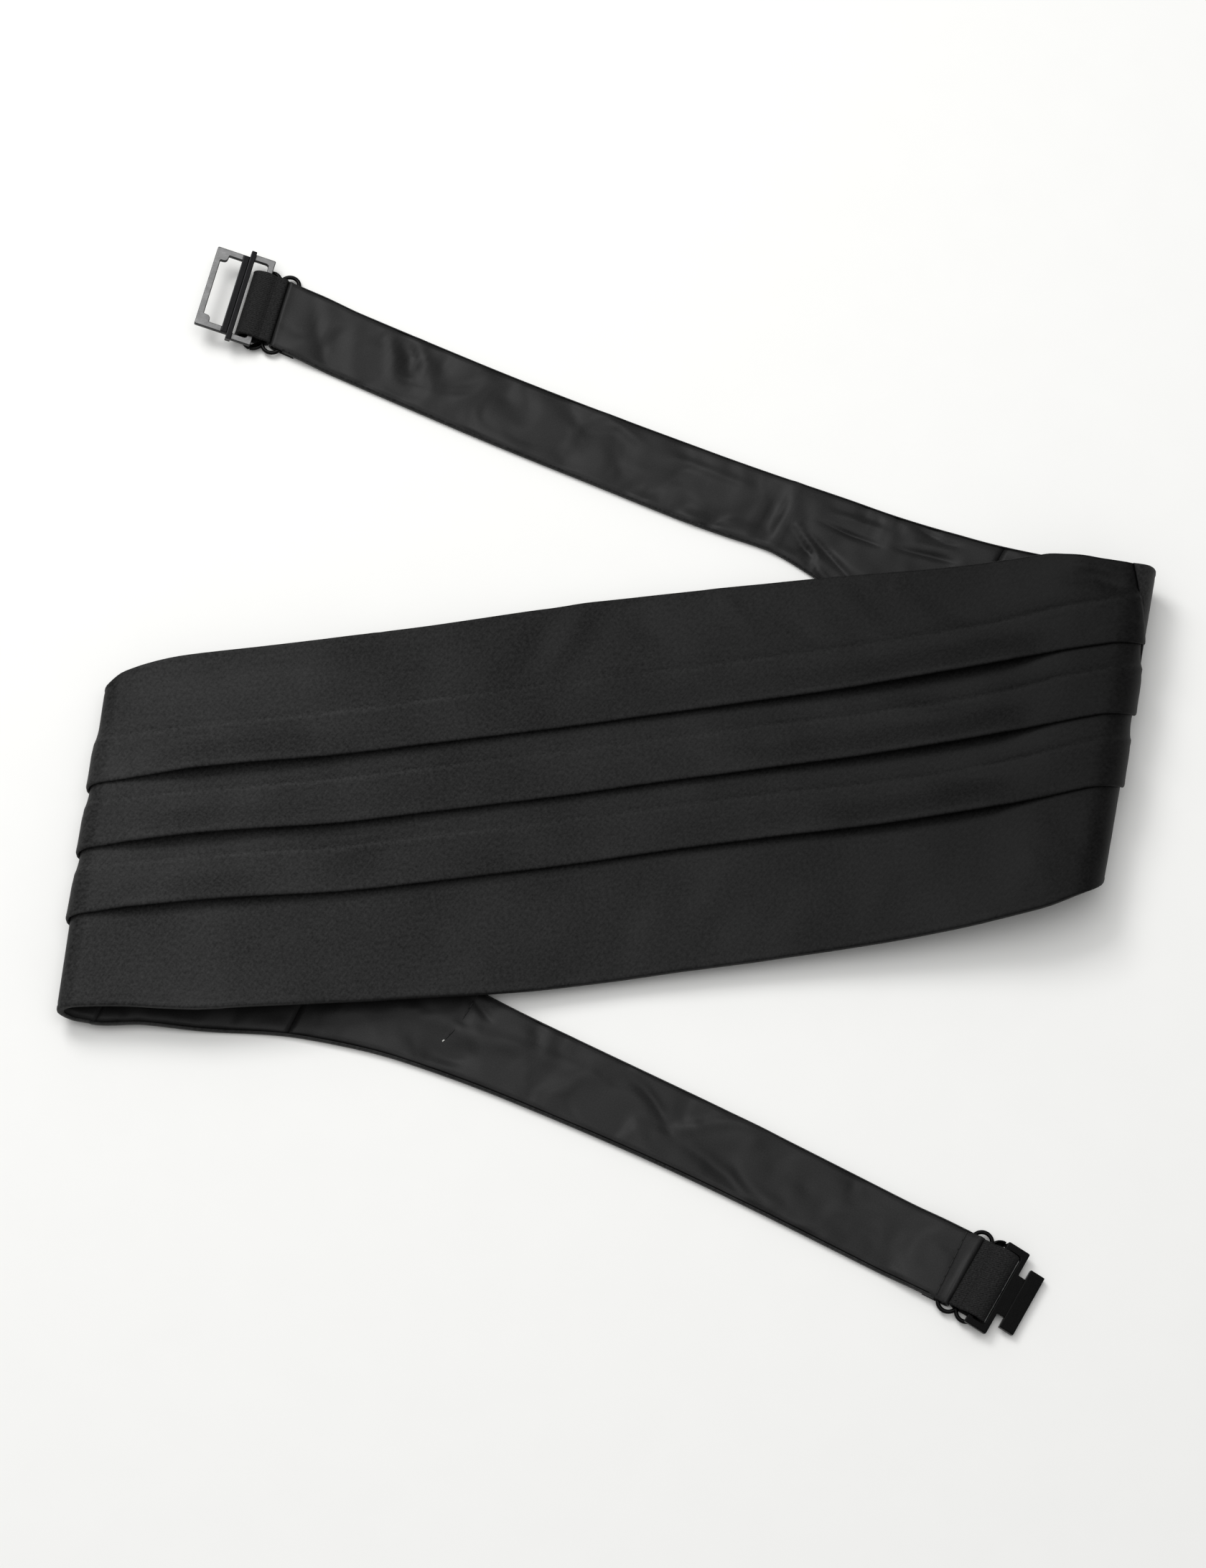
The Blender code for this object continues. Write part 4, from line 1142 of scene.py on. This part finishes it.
def black_nickel(name, face, edge):
    """Black nickel plating on zinc, its flat faces brushed through to a paler grey with lengthwise
    scratches, and the band of its double bar dark. Its sides and the rounding of its edges, which turn
    away from the receiver's up, are dark too: the plating's own black with painted shade, which outlines
    the faces."""
    made, tree, shader = material(name)
    spot = receiver_frame()
    outward, up = spot.to_3x3().col[0], spot.to_3x3().col[2]
    place = add_node(tree, "TexCoord").outputs["Object"]
    # Painted shade: wherever the rounded normal turns away from the receiver's up, at its sides and round
    # its edges, the surface takes the dark colour.
    rounded = add_node(tree, "Bevel", {"Radius": 0.00028}, samples=6)
    rounded = add_node(
        tree, "VectorTransform", {"Vector": rounded},
        vector_type="NORMAL", convert_from="WORLD", convert_to="OBJECT",
    )
    facing = add_node(tree, "VectorMath", {0: rounded, 1: tuple(up)}, operation="DOT_PRODUCT")
    is_face = {"Value": facing.outputs["Value"], "From Min": 0.90, "From Max": 0.995}
    reach = add_node(tree, "VectorMath", {0: place, 1: tuple(outward)}, operation="DOT_PRODUCT")
    start = spot.translation.dot(outward)
    past = add_node(tree, "Math", {0: reach.outputs["Value"], 1: start}, operation="SUBTRACT")
    after, before = (DOUBLE_BAR[0] - 0.15) * MM, (DOUBLE_BAR[1] + 0.15) * MM
    after = add_node(tree, "Math", {0: past, 1: after}, operation="GREATER_THAN")
    before = add_node(tree, "Math", {0: past, 1: before}, operation="LESS_THAN")
    bar = add_node(tree, "Math", {0: after, 1: before}, operation="MULTIPLY")
    pale = add_node(tree, "Math", {0: 1.0, 1: bar}, operation="SUBTRACT")
    pale = add_node(tree, "Math", {0: pale, 1: add_node(tree, "MapRange", is_face)}, operation="MULTIPLY")
    turned = add_node(
        tree, "Mapping",
        {"Vector": place, "Rotation": (0.0, 0.0, -HEADINGS[1]), "Scale": (900.0, 5200.0, 2000.0)},
    )
    brush = add_node(tree, "TexNoise", {"Vector": turned, "Scale": 1.0, "Detail": 4.0, "Roughness": 0.7})
    blotch = add_node(tree, "TexNoise", {"Vector": place, "Scale": 420.0, "Detail": 2.0})
    scratch = add_node(tree, "Math", {0: brush, 1: 0.6}, operation="MULTIPLY")
    scratch = add_node(tree, "Math", {0: blotch, 1: 0.4, 2: scratch}, operation="MULTIPLY_ADD")
    bright = add_node(tree, "ValToRGB", {"Fac": scratch}, stops=tones(face, 0.55, 1.35))
    dark = add_node(tree, "ValToRGB", {"Fac": scratch}, stops=tones(edge, 0.7, 1.6))
    both = add_node(tree, "Mix", {"Factor": pale, "A": dark, "B": bright}, data_type="RGBA")
    fill(tree, shader, {
        "Base Color": both.outputs["Result"],
        "Metallic": 0.9,
        "Roughness": add_node(tree, "MapRange", {"Value": brush, "To Min": 0.28, "To Max": 0.5}),
        "Normal": add_node(tree, "Bump", {"Height": brush, "Strength": 0.15, "Distance": 0.00005}),
    })
    return made


def spun_thread(name, colour):
    """Spun polyester sewing thread: matt, with the fuzz of its fibres."""
    made, tree, shader = material(name)
    place = add_node(tree, "TexCoord").outputs["Object"]
    fuzz = add_node(tree, "TexNoise", {"Vector": place, "Scale": 5000.0, "Detail": 2.0})
    fill(tree, shader, {
        "Base Color": add_node(tree, "ValToRGB", {"Fac": fuzz}, stops=tones(colour, 0.75, 1.25)),
        "Roughness": 0.75,
    })
    return made


def painted_floor(name, colour):
    """Matt white painted board, smooth and even, so that only the soft shadow shows on it."""
    made, tree, shader = material(name)
    place = add_node(tree, "TexCoord").outputs["Object"]
    roller = add_node(tree, "TexNoise", {"Vector": place, "Scale": 60.0, "Detail": 2.0})
    fill(tree, shader, {
        "Base Color": add_node(tree, "ValToRGB", {"Fac": roller}, stops=tones(colour, 0.995, 1.005)),
        "Roughness": 0.9,
        "Specular IOR Level": 0.1,
    })
    return made


def shared(name, make, *values):
    """A material that is made once and shared."""
    return bpy.data.materials.get(name) or make(name, *values)


def cloth_finishes(sizes, colours):
    satin = shared("Polyester satin, black", polyester_satin, colours.satin, sizes.weave)
    return satin, shared("Acetate lining, black", acetate_lining, colours.lining)


def enamel_finish(colours):
    return shared("Stoved enamel, black", stoved_enamel, colours.enamel)


# Operators


def choices(context):
    return context.scene.cummerbund_sizes, context.scene.cummerbund_colours


class FrontOperator(bpy.types.Operator):
    """Makes the pleated satin front and its lining"""

    bl_idname = "cummerbund.front"
    bl_label = "Pleated front"

    def execute(self, context):
        sizes, colours = choices(context)
        satin, lining = cloth_finishes(sizes, colours)
        make_front_lining(lining, sizes.lining)
        make_front(satin, sizes.cloth)
        return {"FINISHED"}


class TailsOperator(bpy.types.Operator):
    """Makes both tails: outer cloth with rolled edges, facings and linings"""

    bl_idname = "cummerbund.tails"
    bl_label = "Tails"

    def execute(self, context):
        sizes, colours = choices(context)
        satin, lining = cloth_finishes(sizes, colours)
        for side in (-1, 1):
            make_tail(side, satin, sizes.cloth)
            start = seam_of(side) + LINING_SEAM_PAST + SEAM_EASE
            seam = of_side(side, FACINGS)
            stop = of_side(side, TAILS) - 1.9
            make_tail_lining(side, "facing", start, seam - 0.1, lining, sizes.lining)
            make_tail_lining(side, "lining", seam + 0.1, stop, lining, sizes.lining)
        return {"FINISHED"}


class StrapOperator(bpy.types.Operator):
    """Makes the elastic loops and the wire sliders at both ends of the strap"""

    bl_idname = "cummerbund.strap"
    bl_label = "Elastic and sliders"

    def execute(self, context):
        sizes, colours = choices(context)
        webbing = woven_elastic("Elastic webbing, black", colours.elastic)
        enamel = enamel_finish(colours)
        for side in (-1, 1):
            make_elastic(side, webbing, sizes.elastic, sizes.rib)
            make_slider(side, enamel)
        return {"FINISHED"}


class StitchingOperator(bpy.types.Operator):
    """Sews the left strap's end and the slit of the left lining, and leaves its thread end"""

    bl_idname = "cummerbund.stitching"
    bl_label = "Stitching"

    def execute(self, context):
        sizes, colours = choices(context)
        black = spun_thread("Sewing thread, black", colours.thread)
        pale = spun_thread("Basting thread, off-white", colours.loose_thread)
        stitches("Strap_stitches", STRAP_LINE, sizes.thread, sizes.stitch, 0.5, black)
        stitches("Slit_stitches", SLIT_LINE, sizes.thread, sizes.stitch, 0.15, black)
        stitches("Thread_end", THREAD_END, sizes.thread, sizes.stitch, 0.0, pale)
        return {"FINISHED"}


class BuckleOperator(bpy.types.Operator):
    """Gives the hook its enamel and the receiver its plating"""

    bl_idname = "cummerbund.buckle"
    bl_label = "Buckle finishes"

    def execute(self, context):
        colours = context.scene.cummerbund_colours
        plating = black_nickel("Black nickel, brushed faces", colours.plating, colours.dark_plating)
        for node, finish in (("hook", enamel_finish(colours)), ("receiver", plating)):
            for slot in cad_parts[node].material_slots:
                slot.material = finish
        return {"FINISHED"}


class StageOperator(bpy.types.Operator):
    """Sets the pale floor, the soft lights and the camera"""

    bl_idname = "cummerbund.stage"
    bl_label = "Studio"

    def execute(self, context):
        scene = context.scene
        build = bmesh.new()
        bmesh.ops.create_grid(build, x_segments=1, y_segments=1, size=FLOOR_SIZE)
        bmesh.ops.translate(build, vec=(0.0, 0.0, -FLOOR_DROP), verts=build.verts)
        paint = painted_floor("Painted board, matt white", scene.cummerbund_colours.floor)
        new_object("Floor", build, paint)
        world = bpy.data.worlds.new("Studio")
        world.use_nodes = True
        world.node_tree.nodes["Background"].inputs["Color"].default_value = (1.0, 1.0, 1.0, 1.0)
        world.node_tree.nodes["Background"].inputs["Strength"].default_value = SKY_STRENGTH
        scene.world = world
        scene.view_settings.view_transform = "Standard"
        for name, place, size, power in LIGHTS:
            lamp = bpy.data.lights.new(name, "AREA")
            lamp.size = size
            lamp.energy = power
            holder = bpy.data.objects.new(name, lamp)
            scene.collection.objects.link(holder)
            holder.location = place
            holder.rotation_euler = (-Vector(place)).to_track_quat("-Z", "Y").to_euler()
        lens = bpy.data.cameras.new("Camera")
        lens.sensor_width = 36.0
        lens.sensor_fit = "AUTO"
        lens.lens = CAMERA_LENS
        lens.clip_start = 0.05
        camera = bpy.data.objects.new("Camera", lens)
        scene.collection.objects.link(camera)
        camera.location = Vector(CAMERA_TARGET) * MM + Vector(CAMERA_BACK)
        camera.rotation_euler = (CAMERA_TILT, 0.0, 0.0)
        scene.camera = camera
        return {"FINISHED"}


class CUMMERBUND_PT_pieces(bpy.types.Panel):
    bl_label = "Cummerbund"
    bl_space_type = "VIEW_3D"
    bl_region_type = "UI"
    bl_category = "Cummerbund"

    def draw(self, context):
        for operator in OPERATORS:
            self.layout.operator(operator.bl_idname)
        for group in choices(context):
            for key in group.bl_rna.properties.keys():
                if key not in ("rna_type", "name"):
                    self.layout.prop(group, key)


OPERATORS = (
    FrontOperator, TailsOperator, StrapOperator, StitchingOperator, BuckleOperator, StageOperator,
)
CLASSES = (CummerbundSizes, CummerbundColours, *OPERATORS, CUMMERBUND_PT_pieces)


def register():
    for item in CLASSES:
        bpy.utils.register_class(item)
    bpy.types.Scene.cummerbund_sizes = bpy.props.PointerProperty(type=CummerbundSizes)
    bpy.types.Scene.cummerbund_colours = bpy.props.PointerProperty(type=CummerbundColours)


def unregister():
    del bpy.types.Scene.cummerbund_colours
    del bpy.types.Scene.cummerbund_sizes
    for item in reversed(CLASSES):
        bpy.utils.unregister_class(item)


def main():
    register()
    bpy.ops.cummerbund.front()
    bpy.ops.cummerbund.tails()
    bpy.ops.cummerbund.strap()
    bpy.ops.cummerbund.stitching()
    bpy.ops.cummerbund.buckle()
    bpy.ops.cummerbund.stage()


if __name__ == "__main__":
    main()
